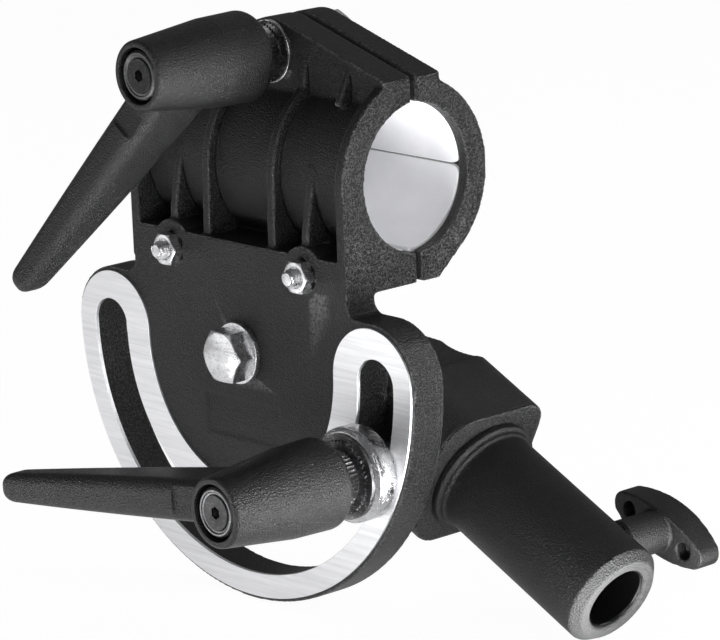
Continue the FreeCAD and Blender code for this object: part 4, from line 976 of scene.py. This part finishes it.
# Where the camera stands along its own right, up and back, and how far that origin lies along Y.
CAMERA_PLACE = (12.612, -42.459, 1058.398)
CAMERA_ORIGIN_Y = 1.75
CAMERA_LENS = 204.248


def direction(azimuth, elevation):
    """Unit vector away from the object. Azimuth 0 is the lever side, and 90 is +X."""
    a, e = math.radians(azimuth), math.radians(elevation)
    return Vector((math.sin(a) * math.cos(e), -math.cos(a) * math.cos(e), math.sin(e)))


def make_floor():
    floor_z = cad_box[0][2] - 0.0005
    plane = bmesh.new()
    bmesh.ops.create_grid(plane, x_segments=1, y_segments=1, size=6.0)
    mesh = mesh_of(plane, "floor")
    mesh.transform(Matrix.Translation((0, 0, floor_z)))
    finish, tree, shader = new_finish("pale_floor", Roughness=0.9)
    cloud = remap(tree, object_noise(tree, 1.5, 2.0), 0.3, 0.7)
    link(tree, blend_colours(tree, cloud, grey(0.10), grey(0.12)), shader.inputs["Base Color"])
    place = tree.nodes.new("ShaderNodeTexCoord").outputs["Object"]
    glow = FLOOR_GLOW
    for x, y, inner, outer, strength in FLOOR_SPOTS:
        away = add_node(tree, "ShaderNodeVectorMath", {0: place, 1: (x, y, floor_z)},
                        operation="DISTANCE").outputs["Value"]
        glow = maths(tree, "ADD", remap(tree, away, inner, outer, strength, 0.0), glow)
    seen = tree.nodes.new("ShaderNodeLightPath").outputs["Is Camera Ray"]
    glow = maths(tree, "MULTIPLY_ADD", maths(tree, "SUBTRACT", FLOOR_SEEN, glow), seen, glow)
    tone = add_node(tree, "ShaderNodeCombineXYZ", {0: glow, 1: glow, 2: glow}).outputs[0]
    link(tree, tone, shader.inputs["Emission Color"])
    shader.inputs["Emission Strength"].default_value = 1.0
    mesh.materials.append(finish)
    new_thing("floor", mesh)


def make_room():
    """White to the camera, and a weak even glow to everything else."""
    world = bpy.data.worlds.new("studio")
    bpy.context.scene.world = world
    world.use_nodes = True
    tree = world.node_tree
    tree.nodes.clear()
    seen = add_node(tree, "ShaderNodeBackground", {"Color": (1, 1, 1, 1), "Strength": 1.0})
    light = add_node(tree, "ShaderNodeBackground", {"Color": (1, 1, 1, 1), "Strength": ROOM_GLOW})
    path = tree.nodes.new("ShaderNodeLightPath")
    mix = tree.nodes.new("ShaderNodeMixShader")
    link(tree, path.outputs["Is Camera Ray"], mix.inputs[0])
    link(tree, light.outputs[0], mix.inputs[1])
    link(tree, seen.outputs[0], mix.inputs[2])
    out = tree.nodes.new("ShaderNodeOutputWorld")
    link(tree, mix.outputs[0], out.inputs[0])


def make_lamps():
    aim = Vector((0.01, 0.0, -0.035))
    for name, azimuth, elevation, distance, wide, tall, watts in LAMPS:
        towards = direction(azimuth, elevation)
        lamp = bpy.data.lights.new(name, "AREA")
        lamp.shape = "RECTANGLE"
        lamp.size, lamp.size_y = wide, tall
        lamp.energy = watts
        holder = bpy.data.objects.new(name, lamp)
        holder.location = aim + towards * distance
        holder.rotation_euler = towards.to_track_quat("Z", "Y").to_euler()
        holder.visible_camera = False
        bpy.context.scene.collection.objects.link(holder)


def make_camera():
    back = direction(CAMERA_AZIMUTH, CAMERA_ELEVATION)
    level = Vector((0, 0, 1)).cross(back).normalized()
    upright = back.cross(level)
    roll = math.radians(CAMERA_ROLL)
    right = level * math.cos(roll) + upright * math.sin(roll)
    up = upright * math.cos(roll) - level * math.sin(roll)
    along_right, along_up, along_back = CAMERA_PLACE
    eye = right * along_right + up * along_up + back * along_back + Vector((0, CAMERA_ORIGIN_Y, 0))
    lens = bpy.data.cameras.new("camera")
    lens.sensor_width = 36.0
    lens.sensor_fit = "HORIZONTAL"
    lens.lens = CAMERA_LENS
    lens.clip_start = 0.05
    camera = bpy.data.objects.new("camera", lens)
    turn = Matrix((right, up, back)).transposed().to_4x4()
    camera.matrix_world = Matrix.Translation(eye * MM) @ turn
    bpy.context.scene.collection.objects.link(camera)
    bpy.context.scene.camera = camera


make_castings()
make_slot_face()
make_liners()
make_jaw_screws()
make_pivot()
make_levers()
paint_hidden_parts()
make_floor()
make_room()
make_lamps()
make_camera()
bpy.context.scene.view_settings.view_transform = "Standard"
